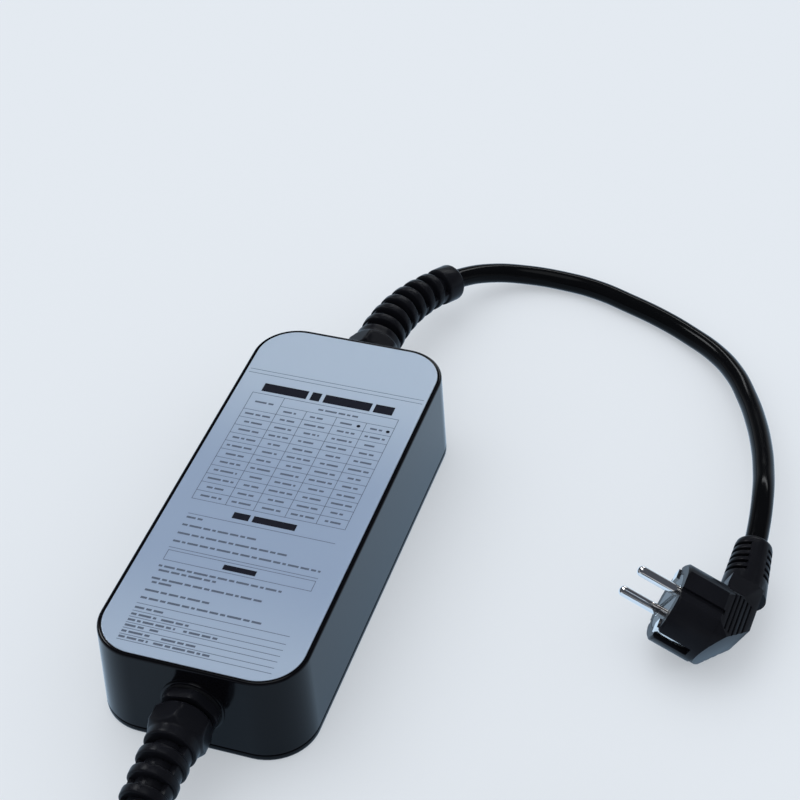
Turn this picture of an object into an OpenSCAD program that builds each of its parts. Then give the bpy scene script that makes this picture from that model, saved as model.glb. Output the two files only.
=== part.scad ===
// Portable electric car charger: a control box with a short mains lead and a coiled car lead
// Millimetres, +Z up. The origin is under the middle of the control box, on the table.
// The mains lead leaves the +Y end, the car lead leaves the -Y end.

/* [Control box] */
// Width of the box at its base
box_w = 95; // [88:1:120]
// Length of the box at its base
box_l = 218; // [210:1:260]
// Height of the box
box_h = 46; // [43:1:60]
// Radius of the upright corners at the base
corner_r = 22; // [18:0.5:26]
// Draft of the walls in degrees
wall_draft = 1.8; // [0.5:0.1:3]
// Thickness of the walls
wall = 3; // [2.5:0.1:4]
// Thickness of the roof under the label
roof_t = 2; // [1.5:0.1:4]
// Rounding of the upper and lower edges
edge_r = 1.2; // [0.6:0.1:1.4]
// Thickness of the base cover
cover_t = 3; // [2.8:0.1:5]
// Height of the lip that locates the base cover
lip_h = 3; // [2:0.1:5]
// Thickness of that lip
lip_t = 1.6; // [1.2:0.1:2.5]
// Width of the sealing cord between cover and housing
seal_w = 1.2; // [0.8:0.1:1.4]
// Height of the sealing cord
seal_h = 1.6; // [1:0.1:2.4]
// Radius of the screw pillars
pillar_r = 4.2; // [3.6:0.1:5]
// Diameter of the cover screws
screw_d = 3; // [2.5:0.1:3.5]
// Length of the cover screws
screw_l = 12; // [10:1:20]

/* [Label panel] */
// Width of the rim around the label panel
rim_w = 1.8; // [1.4:0.1:4]
// Thickness of the label panel
label_t = 1; // [0.5:0.1:1.5]

/* [Electronics] */
// Gap between the circuit board and each long wall
board_side_gap = 12.5; // [11:0.5:15]
// Gap between the circuit board and each end wall
board_end_gap = 14; // [13:0.5:18]
// Thickness of the circuit board
board_t = 1.6; // [1:0.1:2.4]
// Height of the pillars under the board
board_post_h = 7; // [5:0.5:9]
// Height of the two relays
relay_h = 20; // [15:0.5:24]
// Height of the supply module
supply_h = 17; // [12:0.5:22]
// Height of the storage capacitors
capacitor_h = 16; // [10:0.5:22]
// Radius of the storage capacitors
capacitor_r = 5; // [4:0.5:6]
// Outer radius of the leakage sensor's ring
sensor_r = 12; // [10.5:0.1:12.2]
// Distance between the status lamps
lamp_pitch = 16; // [15:0.5:18]

/* [Cable glands] */
// Height of the cable axis above the table
gland_z = 25; // [23:0.5:27]
// Diameter of the gland's thread
gland_d = 20; // [18:0.5:21]
// Width across the flats of the gland's hexagons
gland_af = 24; // [23.5:0.1:26]
// Thickness of the gland's hexagon
gland_hex_t = 4.5; // [4:0.1:7]
// Thickness of the sealing washer under it
washer_t = 1.2; // [0.8:0.1:2]
// Thickness of the locknut inside the box
locknut_t = 5; // [4:0.1:7]

/* [Strain reliefs] */
// Length of the hexagon of the dome nut
nut_l = 11.5; // [10.5:0.1:15]
// Length of the smooth sleeve behind the first slot
sleeve_l = 5; // [3:0.5:10]
// Radius of the sleeve
sleeve_r = 11.4; // [10.8:0.1:11.8]
// Radius of the last ring
tip_r = 9; // [8.5:0.1:10.5]
// Number of slots
slots = 7; // [5:1:8]
// Width of a slot
slot_w = 4.7; // [3:0.1:5]
// Thickness of a ring between two slots
ring_t = 4.3; // [4:0.1:6]
// Length of the end collar
collar_l = 11; // [8:0.5:14]
// Radius of the end collar
collar_r = 9.4; // [9:0.1:10.5]
// Width of the two spines that join the rings
spine_w = 9; // [5:0.5:10]

/* [Leads] */
// Diameter of the mains lead
mains_d = 10; // [9:0.1:10.4]
// Diameter of the car lead
car_d = 12; // [11:0.1:12.4]
// Radius of the coil at the middle of its turns
coil_r = 73; // [68:0.5:76]
// Turns of the coil side by side
coil_wide = 3; // [2:1:3]
// Turns of the coil on top of each other
coil_high = 4; // [3:1:5]
// Thickness of the straps that tie the coil
strap_t = 1; // [0.6:0.1:2]

/* [Mains plug] */
// Diameter of the plug's face
plug_d = 36.5; // [35.5:0.5:38]
// Depth of the round front of the plug
plug_front = 19.5; // [18:0.5:21]
// Distance of the cable axis behind the face
plug_back = 29.5; // [28.5:0.5:31]
// Distance of the cable outlet's end from the pin axis
plug_reach = 50; // [48:0.5:56]
// Radius of the plug's own strain relief
plug_relief_r = 8.4; // [8:0.1:9]
// Diameter of a pin
pin_d = 4.8; // [4:0.1:5]
// Free length of a pin
pin_l = 19; // [17:0.5:20]
// Distance between the pins
pin_pitch = 19; // [18:0.5:20]

/* [Car connector] */
// Length of the handle
handle_l = 112; // [100:1:130]
// Radius of the handle at its tail
handle_tail_r = 14; // [13:0.5:16]
// Radius of the handle at its thickest
handle_grip_r = 19; // [18:0.5:21]
// Radius of the collar at the handle's front
handle_front_r = 31; // [30.5:0.5:32]
// Thickness of the handle's shells
handle_wall = 2.5; // [2:0.1:3]
// Radius of the nose
nose_r = 27.5; // [27:0.1:27.8]
// Length of the nose in front of the handle
nose_l = 34; // [30:0.5:40]
// Thickness of the dust cap
cap_t = 2.4; // [1.6:0.1:2.6]

/* [Hidden] */

// Roundness of arcs, and the small gaps between pieces that fit together
$fn = 64;
fit = 0.15;
bury = 0.5;
past = 1;

// Shared shape of the box: upright corners that narrow towards the top
slope = tan(wall_draft);
corner_x = box_w / 2 - corner_r;
corner_y = box_l / 2 - corner_r;
function corner_at(z) = corner_r - z * slope;
top_w = box_w - 2 * box_h * slope;
top_l = box_l - 2 * box_h * slope;
seam_w = box_w - 2 * cover_t * slope;
seam_l = box_l - 2 * cover_t * slope;
ceiling_z = box_h - label_t - roof_t;
label_w = top_w - 2 * rim_w;
label_l = top_l - 2 * rim_w;
label_r = corner_at(box_h) - rim_w;

// Screw pillars: one in each corner and one at the middle of each long wall
pillar_bite = 1.2;
pillar_out = (corner_at(box_h) - wall - pillar_r + pillar_bite) / sqrt(2);
pillar_side = top_w / 2 - wall - pillar_r + pillar_bite;
pillars = [
    for (x = [-1, 1], y = [-1, 1]) [x * (corner_x + pillar_out), y * (corner_y + pillar_out)],
    [-pillar_side, 0],
    [pillar_side, 0]
];
head_wide = 1.9;
head_deep = 0.5;
screw_head_d = head_wide * screw_d;
screw_head_h = head_deep * screw_d;
slot_fit = 0.3;

// Circuit board on its posts
board_w = box_w - 2 * (wall + board_side_gap);
board_l = box_l - 2 * (wall + board_end_gap);
board_z = cover_t + board_post_h;
board_top = board_z + board_t;
board_screw_d = 2.6;
board_screw_l = 6;
board_inset = 4;
board_holes = [
    for (x = [-1, 1], y = [-1, 1]) [x * (board_w / 2 - board_inset), y * (board_l / 2 - board_inset)]
];
block_edge = 1;
relay_size = [28, 16];
relay_y = [14, 34];
supply_size = [board_w / 2 + 2, 24];
supply_y = -14;
capacitor_at = [12 - board_w / 2, 10];
capacitor_pitch = 13;
bead_z = 2;
bead = 0.5;
chip_size = 12;
chip_t = 1.6;
chip_edge = 0.8;
sensor_y = -board_l / 2 + 12;
sensor_t = 10;
sensor_hole_r = 6.5;
terminal_size = [40, 13, 15];
terminal_y = 52;
terminal_hole_r = 2;
terminal_screw_r = 2.2;
mains_ways = 3;
car_ways = 5;
lamp_y = board_l / 2 - 10;
lamp_r = 1.5;
lamp_rim = 0.4;
lamp_h = 5;
guide_r = 1.7;
guide_gap = 0.8;
guide_bar = 3;

// Glands: a flat pad on each end wall carries them, because the walls lean
car_gland_x = 1.6;
function gland_x(end) = end < 0 ? car_gland_x : 0;
pad_r = gland_af / 2 + 2;
pad_stand = 0.2;
pad_out = box_l / 2 - (gland_z - pad_r) * slope + pad_stand;
pad_in = box_l / 2 - wall - (gland_z + pad_r) * slope - pad_stand;
pad_t = pad_out - pad_in;
gland_turn = 12;
nut_turn = gland_turn + 14;
hex_z = washer_t + gland_hex_t;
stub_r = gland_d / 2 - 0.9;
stub_l = 9;
locknut_more = 1.5;
insert_wall = 2.2;
nut_gap = 1.6;
nut_edge = 2.8;
nut_step = 0.2;
nut_z = hex_z + nut_gap;
relief_z = nut_z + nut_l;
bend_z = relief_z + sleeve_l;
bend_l = slots * slot_w + (slots - 1) * ring_t;
ring_pitch = slot_w + ring_t;
lead_fit = 0.25;
collar_edge = 1.5;
spine_low = 0.5;

// Cores from the cut end of each lead to its terminals; only two car cores pass the sensor's ring
mains_core_r = 1.6;
mains_core_pitch = 3.3;
car_core_r = 1;
car_core_starts = [[0, 3.2], [-2.2, 0], [2.2, 0], [-1.5, -3.2], [1.5, -3.2]];
car_core_passes = [[-sensor_r - 3, 3], [-2.2, 0], [2.2, 0], [sensor_r + 3, -4], [sensor_r + 6, 3]];
core_clear = 6;
core_pass = 2;
core_sides = 8;
core_from = pad_in - locknut_t - 5;
core_to = terminal_y + terminal_size[1] / 2 - 3;
core_z = board_top + terminal_size[2] / 3;

// How each strain relief bends: end of the box, degrees, and the way it bends
mains_bend = 28;
mains_bend_turn = 26;
mains_spine_turn = 0;
car_bend = 18;
car_bend_turn = -90;
car_spine_turn = 82;
function bend_r(bend) = bend_l * 180 / (PI * bend);
function bend_side(end, turn) = [cos(turn), 0, -end * sin(turn)];
function relief_dir(end, bend, turn) = [0, end * cos(bend), 0] + sin(bend) * bend_side(end, turn);
function relief_end(end, bend, turn) =
    [gland_x(end), end * (pad_out + bend_z + bend_r(bend) * sin(bend)), gland_z]
    + bend_r(bend) * (1 - cos(bend)) * bend_side(end, turn)
    + collar_l * relief_dir(end, bend, turn);

// Leads: hand-chosen points between the strain reliefs, the plug and the coil
lead_straight = 6;
lead_sides = 12;
mains_start = relief_end(1, mains_bend, mains_bend_turn);
mains_out = relief_dir(1, mains_bend, mains_bend_turn);
mains_points = [[32.3, 218.3, 10.6], [49.5, 226.7, 6.8], [70, 229, 5], [88, 226.3, 5], [106, 220, 5], [125, 212, 5],
    [142, 202, 5.5], [157, 190, 7], [169, 175, 9], [178.5, 157, 11], [186, 138, 14], [192, 118.5, 17],
    [196.5, 98.5, 20], [199.5, 79.5, 22.3]];
car_start = relief_end(-1, car_bend, car_bend_turn);
car_out = relief_dir(-1, car_bend, car_bend_turn);
car_points = [[1.4, -224, 7.4], [0.8, -246, 6.2], [0.2, -276, 6.1], [0, -306, 6.1], [0, -336, 6.1],
    [0, -360, 6.5]];
tail_drop = 4;
tail_points = [[57, 37.5], [66, 34.5]];
tail_l = 86;

// Coil: a ring of turns that lies right of the car lead, tied by straps
coil_pitch = car_d + 0.2;
coil_section = [(coil_wide - 1) * coil_pitch + car_d, (coil_high - 1) * coil_pitch + car_d];
coil_turn_r = coil_r + (coil_wide - 1) * coil_pitch / 2;
coil_at = [coil_turn_r, -424];
coil_base = strap_t + fit;
coil_outer = coil_r + coil_section[0] / 2;
coil_touch = sqrt(pow(coil_outer, 2) - pow(coil_turn_r - car_d / 2, 2));
strap_sweep = 9;
strap_angles = [86, 266];

// Mains plug: pin axis along its own Z, cable along its own Y
plug_turn = [16, -64, -19];
plug_end = [201.4, 51.6, 19.3];
plug_lean = 5;
plug_elbow = 21;
elbow_back = 35;
elbow_low = 2;
elbow_flat = 0.5;
elbow_l = 22.6;
plug_relief_l = plug_reach - plug_elbow;
plug_relief_end = [
    0,
    plug_elbow + plug_relief_l * cos(plug_lean),
    -plug_back + plug_relief_l * sin(plug_lean)
];
plug_flat = plug_d / 2 - 1.6;
plug_chamfer = 1;
plug_groove = [2.4, 1.4];
plug_groove_y = -2.6;
plug_rear_w = 9.6;
plug_neck_w = 10.5;
plug_step = 0.4;
plug_root_w = plug_flat - plug_step;
plug_slots = 5;
plug_slot_w = 1.7;
plug_slot_pitch = 3.5;
plug_slot_depth = 3;
plug_slot_end = 5;
plug_taper = 2.1;
plug_relief_edge = 3;
plug_grips = 5;
plug_grip_w = 1;
plug_grip_pitch = 2.4;
plug_grip_l = 20;
plug_grip_y = 1;
plug_grip_depth = 0.6;
pin_root = 0.4;
bridge_r = 13;
bridge_t = 8;
clip_w = 4.6;
clip_t = 0.8;
clip_l = 14;
clip_foot = 4;
clip_bow = [4, 8];
clip_rise = 0.4;
clip_slot = [5.4, 3, 16];

// Car connector: it lies beside the coil, its nose towards +Y
connector_at = [2 * coil_turn_r, coil_at[1] + tail_l, handle_front_r + fit];
grommet_l = 46;
grommet_in = 16;
cable_past = 4;
grommet_wall = 2.5;
grommet_rib = 1.6;
grommet_rib_r = car_d / 2 + grommet_wall + grommet_rib;
grommet_ribs = 5;
grommet_rib_w = 2.6;
grommet_rib_pitch = 5.4;
grommet_taper = 0.35;
handle_z = grommet_l - grommet_in;
handle_end = handle_z + handle_l;
flare_l = 30;
collar_front = 8;
front_z = handle_end + collar_front;
nose_key = 6;
nose_root = 7;
contact_r = 4;
pilot_r = 2.6;
contact_bore = 1;
contact_l = 26;
contact_sunk = 4;
power_contacts = [[0, 0], [-16, 0], [16, 0]];
pilot_contacts = [[-8, 13], [8, 13]];
blank_contacts = [[-8, -13], [8, -13]];
handle_screws = [handle_z + 0.3 * handle_l, handle_z + 0.6 * handle_l];
handle_seat = handle_tail_r - handle_wall;
handle_screw_r = 1.5;
handle_screw_l = 18;
handle_boss_r = 4;

// Unit vectors and the rings of a swept tube
function unit(v) = v / norm(v);
function heading(p, i) = unit(p[min(i + 1, len(p) - 1)] - p[max(i - 1, 0)]);
function tube_ring(p, i, r, n) =
    let (t = heading(p, i), s = unit(cross(t, [0, 0, 1])), u = cross(s, t))
    [for (k = [0:n - 1]) p[i] + r * (cos(360 * k / n) * s + sin(360 * k / n) * u)];

// A tube of n sides swept along the points p
module tube(p, r, n) {
    last = (len(p) - 1) * n;
    polyhedron(
        points = [for (i = [0:len(p) - 1]) each tube_ring(p, i, r, n)],
        faces = [
            [for (k = [n - 1:-1:0]) k],
            for (i = [0:len(p) - 2], k = [0:n - 1])
                each [[i * n + k, i * n + (k + 1) % n, (i + 1) * n + (k + 1) % n],
                    [i * n + k, (i + 1) * n + (k + 1) % n, (i + 1) * n + k]],
            [for (k = [0:n - 1]) last + k]
        ]
    );
}

// A rectangle with round corners, flat and as a plate
module round_rect(w, l, r) {
    square([w - 2 * r, l], center = true);
    square([w, l - 2 * r], center = true);
    for (x = [-1, 1], y = [-1, 1])
        translate([x * (w / 2 - r), y * (l / 2 - r)])
            circle(r);
}
module plate(w, l, r, t) {
    linear_extrude(t)
        round_rect(w, l, r);
}

// A closed band that follows the outline of the box at its seam
module seam_band(inset, width, height) {
    linear_extrude(height)
        difference() {
            round_rect(seam_w - 2 * inset, seam_l - 2 * inset, corner_at(cover_t) - inset);
            round_rect(seam_w - 2 * (inset + width), seam_l - 2 * (inset + width),
                corner_at(cover_t) - inset - width);
        }
}

// The leaning body of the box, drawn round four turned corners
module corner_body(profile) {
    hull()
        for (x = [-corner_x, corner_x], y = [-corner_y, corner_y])
            translate([x, y, 0])
                rotate_extrude($fn = 48)
                    polygon(profile);
}

// A ring with a round bore
module ring(r_out, r_in, t) {
    difference() {
        cylinder(r = r_out, h = t);
        translate([0, 0, -past])
            cylinder(r = r_in, h = t + 2 * past);
    }
}

// A pan-head screw, its head downwards at z = 0
module pan_screw(d, l) {
    head_d = head_wide * d;
    head_h = head_deep * d;
    difference() {
        union() {
            cylinder(d = head_d, h = head_h);
            translate([0, 0, head_h - fit])
                cylinder(d = d, h = l);
        }
        for (turn = [0, 90])
            rotate(turn)
                translate([-head_d / 4, -head_d / 14, -past])
                    cube([head_d / 2, head_d / 7, past + head_h / 2]);
    }
}

// Places children in a gland's own frame: z runs out of the box
module at_gland(end) {
    translate([gland_x(end), end * pad_out, gland_z])
        rotate([-90 * end, 0, 0])
            children();
}

// Control box
module housing() {
    color("#16181b")
        difference() {
            union() {
                difference() {
                    corner_body([
                        [0, cover_t],
                        [corner_at(cover_t), cover_t],
                        for (a = [0:30:90])
                            [corner_at(box_h) - edge_r + edge_r * cos(a), box_h - edge_r + edge_r * sin(a)],
                        [0, box_h]
                    ]);
                    corner_body([
                        [0, cover_t - past],
                        [corner_at(cover_t - past) - wall, cover_t - past],
                        [corner_at(ceiling_z) - wall, ceiling_z],
                        [0, ceiling_z]
                    ]);
                }
                for (p = pillars)
                    translate([p[0], p[1], cover_t])
                        cylinder(r = pillar_r, h = ceiling_z - cover_t + bury);
                for (end = [-1, 1])
                    at_gland(end)
                        translate([0, 0, -pad_t])
                            cylinder(r = pad_r, h = pad_t);
            }
            translate([0, 0, box_h - label_t])
                plate(label_w, label_l, label_r, label_t + past);
            for (p = pillars)
                translate([p[0], p[1], cover_t - past])
                    cylinder(d = screw_d + 2 * fit, h = screw_l + past);
            for (end = [-1, 1])
                at_gland(end)
                    translate([0, 0, -pad_t - past])
                        cylinder(d = gland_d + 2 * fit, h = pad_t + 2 * past);
            translate([0, 0, cover_t - past])
                seam_band((wall - seal_w) / 2 - fit / 2, seal_w + fit, seal_h / 2 + past);
            for (i = [-1.5:1.5])
                translate([i * lamp_pitch, lamp_y, ceiling_z - past])
                    cylinder(r = guide_r + fit, h = roof_t + 2 * past);
        }
}
module base_cover() {
    color("#141619")
        difference() {
            union() {
                corner_body([
                    [0, 0],
                    for (a = [-90:30:0])
                        [corner_at(0) - edge_r + edge_r * cos(a), edge_r + edge_r * sin(a)],
                    [corner_at(cover_t), cover_t],
                    [0, cover_t]
                ]);
                difference() {
                    translate([0, 0, cover_t - bury])
                        seam_band(wall + slot_fit, lip_t, lip_h + bury);
                    for (p = pillars)
                        translate([p[0], p[1], cover_t])
                            cylinder(r = pillar_r + slot_fit, h = lip_h + past);
                }
                for (p = board_holes)
                    translate([p[0], p[1], cover_t - bury])
                        cylinder(r = board_screw_d, h = board_post_h + bury);
            }
            for (p = pillars)
                translate([p[0], p[1], -past]) {
                    cylinder(d = screw_d + 2 * slot_fit, h = cover_t + 2 * past);
                    cylinder(d = screw_head_d + 2 * slot_fit, h = screw_head_h + slot_fit + past);
                }
            for (p = board_holes)
                translate([p[0], p[1], board_z - board_screw_l])
                    cylinder(d = board_screw_d + 2 * fit, h = board_screw_l + past);
            translate([0, 0, cover_t - seal_h / 2])
                seam_band((wall - seal_w) / 2 - fit / 2, seal_w + fit, seal_h / 2 + past);
        }
}
module base_seal() {
    color("#3a3d40")
        translate([0, 0, cover_t - seal_h / 2])
            seam_band((wall - seal_w) / 2, seal_w, seal_h);
}
module cover_screws() {
    color("#b9bcbf")
        for (p = pillars)
            translate([p[0], p[1], fit])
                pan_screw(screw_d, screw_l - fit);
}
module label_panel() {
    color("#a9b4c4")
        translate([0, 0, box_h - label_t])
            plate(label_w - 2 * fit, label_l - 2 * fit, label_r - fit, label_t);
}

// Electronics
module circuit_board() {
    color("#1f5a38")
        translate([0, 0, board_z])
            difference() {
                plate(board_w, board_l, board_inset / 2, board_t);
                for (p = board_holes)
                    translate([p[0], p[1], -past])
                        cylinder(d = board_screw_d + 2 * fit, h = board_t + 2 * past);
            }
}
module board_screws() {
    color("#c4c6c8")
        for (p = board_holes)
            translate([p[0], p[1], board_top + head_deep * board_screw_d])
                mirror([0, 0, 1])
                    pan_screw(board_screw_d, board_screw_l);
}
module power_relays() {
    color("#22252a")
        for (y = relay_y)
            translate([board_w / 2 - relay_size[0] / 2 - board_inset, y, board_top])
                plate(relay_size[0], relay_size[1], block_edge, relay_h);
}
module supply_module() {
    color("#2b2e33")
        translate([-board_w / 2 + supply_size[0] / 2 + board_inset / 2, supply_y, board_top])
            plate(supply_size[0], supply_size[1], block_edge, supply_h);
}
module storage_capacitors() {
    color("#26324d")
        for (i = [0:2])
            translate([capacitor_at[0], capacitor_at[1] + i * capacitor_pitch, board_top])
                rotate_extrude()
                    polygon([[0, 0], [capacitor_r, 0], [capacitor_r, bead_z - bead],
                        [capacitor_r - bead, bead_z], [capacitor_r, bead_z + bead],
                        [capacitor_r, capacitor_h - bead], [capacitor_r - bead, capacitor_h],
                        [0, capacitor_h]]);
}
module leakage_sensor() {
    color("#30343a")
        difference() {
            union() {
                translate([0, sensor_y + sensor_t / 2, gland_z])
                    rotate([90, 0, 0])
                        cylinder(r = sensor_r, h = sensor_t);
                translate([-sensor_r, sensor_y - sensor_t / 2, board_top])
                    cube([2 * sensor_r, sensor_t, gland_z - sensor_hole_r - 2 - board_top]);
            }
            translate([0, sensor_y + sensor_t / 2 + past, gland_z])
                rotate([90, 0, 0])
                    cylinder(r = sensor_hole_r, h = sensor_t + 2 * past);
        }
}
module control_chip() {
    color("#1c1e20")
        translate([board_w / 2 - board_inset - chip_size, supply_y, board_top])
            plate(chip_size, chip_size, chip_edge, chip_t);
}
module status_lamps() {
    color("#d8ead8")
        for (i = [-1.5:1.5])
            translate([i * lamp_pitch, lamp_y, board_top])
                rotate_extrude()
                    polygon([[0, 0], [lamp_r + lamp_rim, 0], [lamp_r + lamp_rim, 1], [lamp_r, 1],
                        for (a = [0:18:90]) [lamp_r * cos(a), lamp_h - lamp_r + lamp_r * sin(a)]]);
}
module light_guide() {
    foot = board_top + lamp_h + guide_gap;
    color("#e6ecf0") {
        for (i = [-1.5:1.5])
            translate([i * lamp_pitch, lamp_y, foot])
                cylinder(r = guide_r, h = box_h - label_t - foot);
        translate([-1.5 * lamp_pitch, lamp_y - guide_r, ceiling_z - guide_bar])
            cube([3 * lamp_pitch, 2 * guide_r, guide_bar]);
    }
}

// A terminal block with n ways, wires from the side of the given end
module terminals(end, n) {
    pitch = terminal_size[0] / n;
    translate([0, end * terminal_y, board_top])
        difference() {
            translate([-terminal_size[0] / 2, -terminal_size[1] / 2, 0])
                cube(terminal_size);
            for (i = [0:n - 1])
                translate([(i - (n - 1) / 2) * pitch, 0, 0]) {
                    translate([0, end * terminal_size[1] / 2 + end * past, terminal_size[2] / 3])
                        rotate([90 * end, 0, 0])
                            cylinder(r = terminal_hole_r, h = terminal_size[1] / 2 + past);
                    translate([0, 0, terminal_size[2] * 2 / 3])
                        cylinder(r = terminal_screw_r, h = terminal_size[2]);
                }
        }
}
module mains_terminals() {
    color("#3f6b52")
        terminals(1, mains_ways);
}
module car_terminals() {
    color("#3f6b52")
        terminals(-1, car_ways);
}

// Insulated cores between a lead's cut end and its terminals
module mains_cores() {
    color("#5b4a3a")
        for (i = [-1:1])
            tube([
                [i * mains_core_pitch, core_from, gland_z],
                [i * mains_core_pitch, lamp_y - core_clear, gland_z],
                [i * terminal_size[0] / mains_ways, core_to + core_clear, core_z],
                [i * terminal_size[0] / mains_ways, core_to, core_z]
            ], mains_core_r, core_sides);
}
module car_cores() {
    near = sensor_y - sensor_t / 2 - core_pass;
    far = sensor_y + sensor_t / 2 + core_pass;
    color("#3b4f7a")
        for (i = [0:len(car_core_starts) - 1])
            let (start = car_core_starts[i], pass = car_core_passes[i],
                way = (i - (car_ways - 1) / 2) * terminal_size[0] / car_ways)
                tube([
                    [start[0], -core_from, gland_z + start[1]],
                    [start[0], 1 - core_from, gland_z + start[1]],
                    [pass[0], near, gland_z + pass[1]],
                    [pass[0], far, gland_z + pass[1]],
                    [way, -core_to - core_clear, core_z],
                    [way, -core_to, core_z]
                ], car_core_r, core_sides);
}

// Gland pieces, each drawn in the gland's own frame
module hexagon(af, t) {
    cylinder(d = 2 * af / sqrt(3), h = t, $fn = 6);
}
module gland_body(lead_d) {
    color("#1b1c1e")
        difference() {
            union() {
                translate([0, 0, washer_t])
                    rotate(gland_turn)
                        hexagon(gland_af, gland_hex_t);
                translate([0, 0, -pad_t - locknut_t - past])
                    cylinder(d = gland_d, h = pad_t + locknut_t + past + washer_t + bury);
                translate([0, 0, hex_z - bury])
                    cylinder(r = stub_r, h = stub_l + bury);
            }
            translate([0, 0, -pad_t - locknut_t - 2 * past])
                cylinder(d = lead_d + 2 * lead_fit, h = pad_t + locknut_t + hex_z + 2 * past + bury);
            translate([0, 0, hex_z])
                cylinder(r = stub_r - insert_wall, h = stub_l + past);
        }
}
module gland_washer() {
    color("#2a2b2d")
        ring(gland_af / 2 + past, gland_d / 2 + fit, washer_t);
}
module gland_locknut() {
    color("#1f2022")
        translate([0, 0, -pad_t - locknut_t])
            difference() {
                hexagon(gland_af + locknut_more, locknut_t);
                translate([0, 0, -past])
                    cylinder(d = gland_d + 2 * fit, h = locknut_t + 2 * past);
            }
}
module gland_insert(lead_d) {
    color("#3c3d3f")
        translate([0, 0, hex_z + fit])
            ring(stub_r - insert_wall - fit, lead_d / 2 + fit, stub_l - 2 * fit);
}

// Places children at arc length s along a strain relief's bend, towards +X
module on_bend(s, bend) {
    a = bend * s / bend_l;
    translate([bend_r(bend) * (1 - cos(a)), 0, bend_z + bend_r(bend) * sin(a)])
        rotate([0, a, 0])
            children();
}

// Sweeps a flat shape round the whole bend
module round_bend(bend) {
    translate([bend_r(bend), 0, bend_z])
        rotate([90, 0, 180])
            rotate_extrude(angle = bend, $fn = 180)
                translate([bend_r(bend), 0])
                    children();
}

// Dome nut and slotted bend relief, moulded in one piece
module strain_relief(lead_d, bend, bend_turn, spine_turn) {
    nut_d = 2 * gland_af / sqrt(3);
    bore_r = lead_d / 2 + lead_fit;
    difference() {
        union() {
            translate([0, 0, nut_z])
                intersection() {
                    rotate(nut_turn - bend_turn)
                        hexagon(gland_af, nut_l);
                    rotate_extrude()
                        polygon([[0, 0], [nut_d / 2 + past, 0], [nut_d / 2 + past, nut_l - nut_edge],
                            [sleeve_r + nut_step, nut_l], [0, nut_l]]);
                }
            translate([0, 0, relief_z - bury])
                cylinder(r = sleeve_r, h = sleeve_l + 2 * bury);
            round_bend(bend)
                intersection() {
                    circle(tip_r - spine_low);
                    rotate(spine_turn)
                        square([2 * tip_r, spine_w], center = true);
                }
            for (i = [1:slots - 1])
                on_bend(i * ring_pitch - ring_t, bend)
                    cylinder(r = sleeve_r + (tip_r - sleeve_r) * i / slots, h = ring_t);
            on_bend(bend_l, bend)
                rotate_extrude()
                    polygon([[0, -bury], [collar_r, -bury], [collar_r, collar_l - collar_edge],
                        [collar_r - collar_edge, collar_l], [0, collar_l]]);
        }
        translate([0, 0, nut_z - past])
            cylinder(r = stub_r + fit, h = hex_z + stub_l + fit - nut_z + past);
        cylinder(r = bore_r + fit, h = bend_z + bury);
        round_bend(bend)
            circle(bore_r);
        on_bend(bend_l, bend)
            translate([0, 0, -bury])
                cylinder(r = bore_r + fit, h = collar_l + bury + past);
    }
}

// The lead inside gland and strain relief, from its cut end in the box to the collar
module lead_end(lead_d, bend) {
    cut_z = pad_out - core_from;
    translate([0, 0, -cut_z])
        cylinder(d = lead_d, h = cut_z + bend_z + bury);
    round_bend(bend)
        circle(d = lead_d - fit);
    on_bend(bend_l, bend)
        translate([0, 0, -bury])
            cylinder(d = lead_d, h = collar_l + bury);
}
module mains_gland_body() {
    at_gland(1)
        gland_body(mains_d);
}
module mains_gland_washer() {
    at_gland(1)
        gland_washer();
}
module mains_gland_locknut() {
    at_gland(1)
        gland_locknut();
}
module mains_gland_insert() {
    at_gland(1)
        gland_insert(mains_d);
}
module mains_strain_relief() {
    color("#17181a")
        at_gland(1)
            rotate(mains_bend_turn)
                strain_relief(mains_d, mains_bend, mains_bend_turn, mains_spine_turn);
}
module mains_cable_end() {
    color("#0f1012")
        at_gland(1)
            rotate(mains_bend_turn)
                lead_end(mains_d, mains_bend);
}
module mains_cable() {
    color("#0f1012")
        tube(concat([mains_start, mains_start + lead_straight * mains_out], mains_points,
            [plug_end + lead_straight * plug_out, plug_end]), mains_d / 2, lead_sides);
}
module car_gland_body() {
    at_gland(-1)
        gland_body(car_d);
}
module car_gland_washer() {
    at_gland(-1)
        gland_washer();
}
module car_gland_locknut() {
    at_gland(-1)
        gland_locknut();
}
module car_gland_insert() {
    at_gland(-1)
        gland_insert(car_d);
}
module car_strain_relief() {
    color("#17181a")
        at_gland(-1)
            rotate(car_bend_turn)
                strain_relief(car_d, car_bend, car_bend_turn, car_spine_turn);
}
module car_cable_end() {
    color("#0f1012")
        at_gland(-1)
            rotate(car_bend_turn)
                lead_end(car_d, car_bend);
}
module car_cable() {
    color("#0f1012")
        tube(concat([car_start, car_start + lead_straight * car_out], car_points,
            [[0, coil_at[1] + coil_touch, coil_base + car_d / 2]]), car_d / 2, lead_sides);
}

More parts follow.
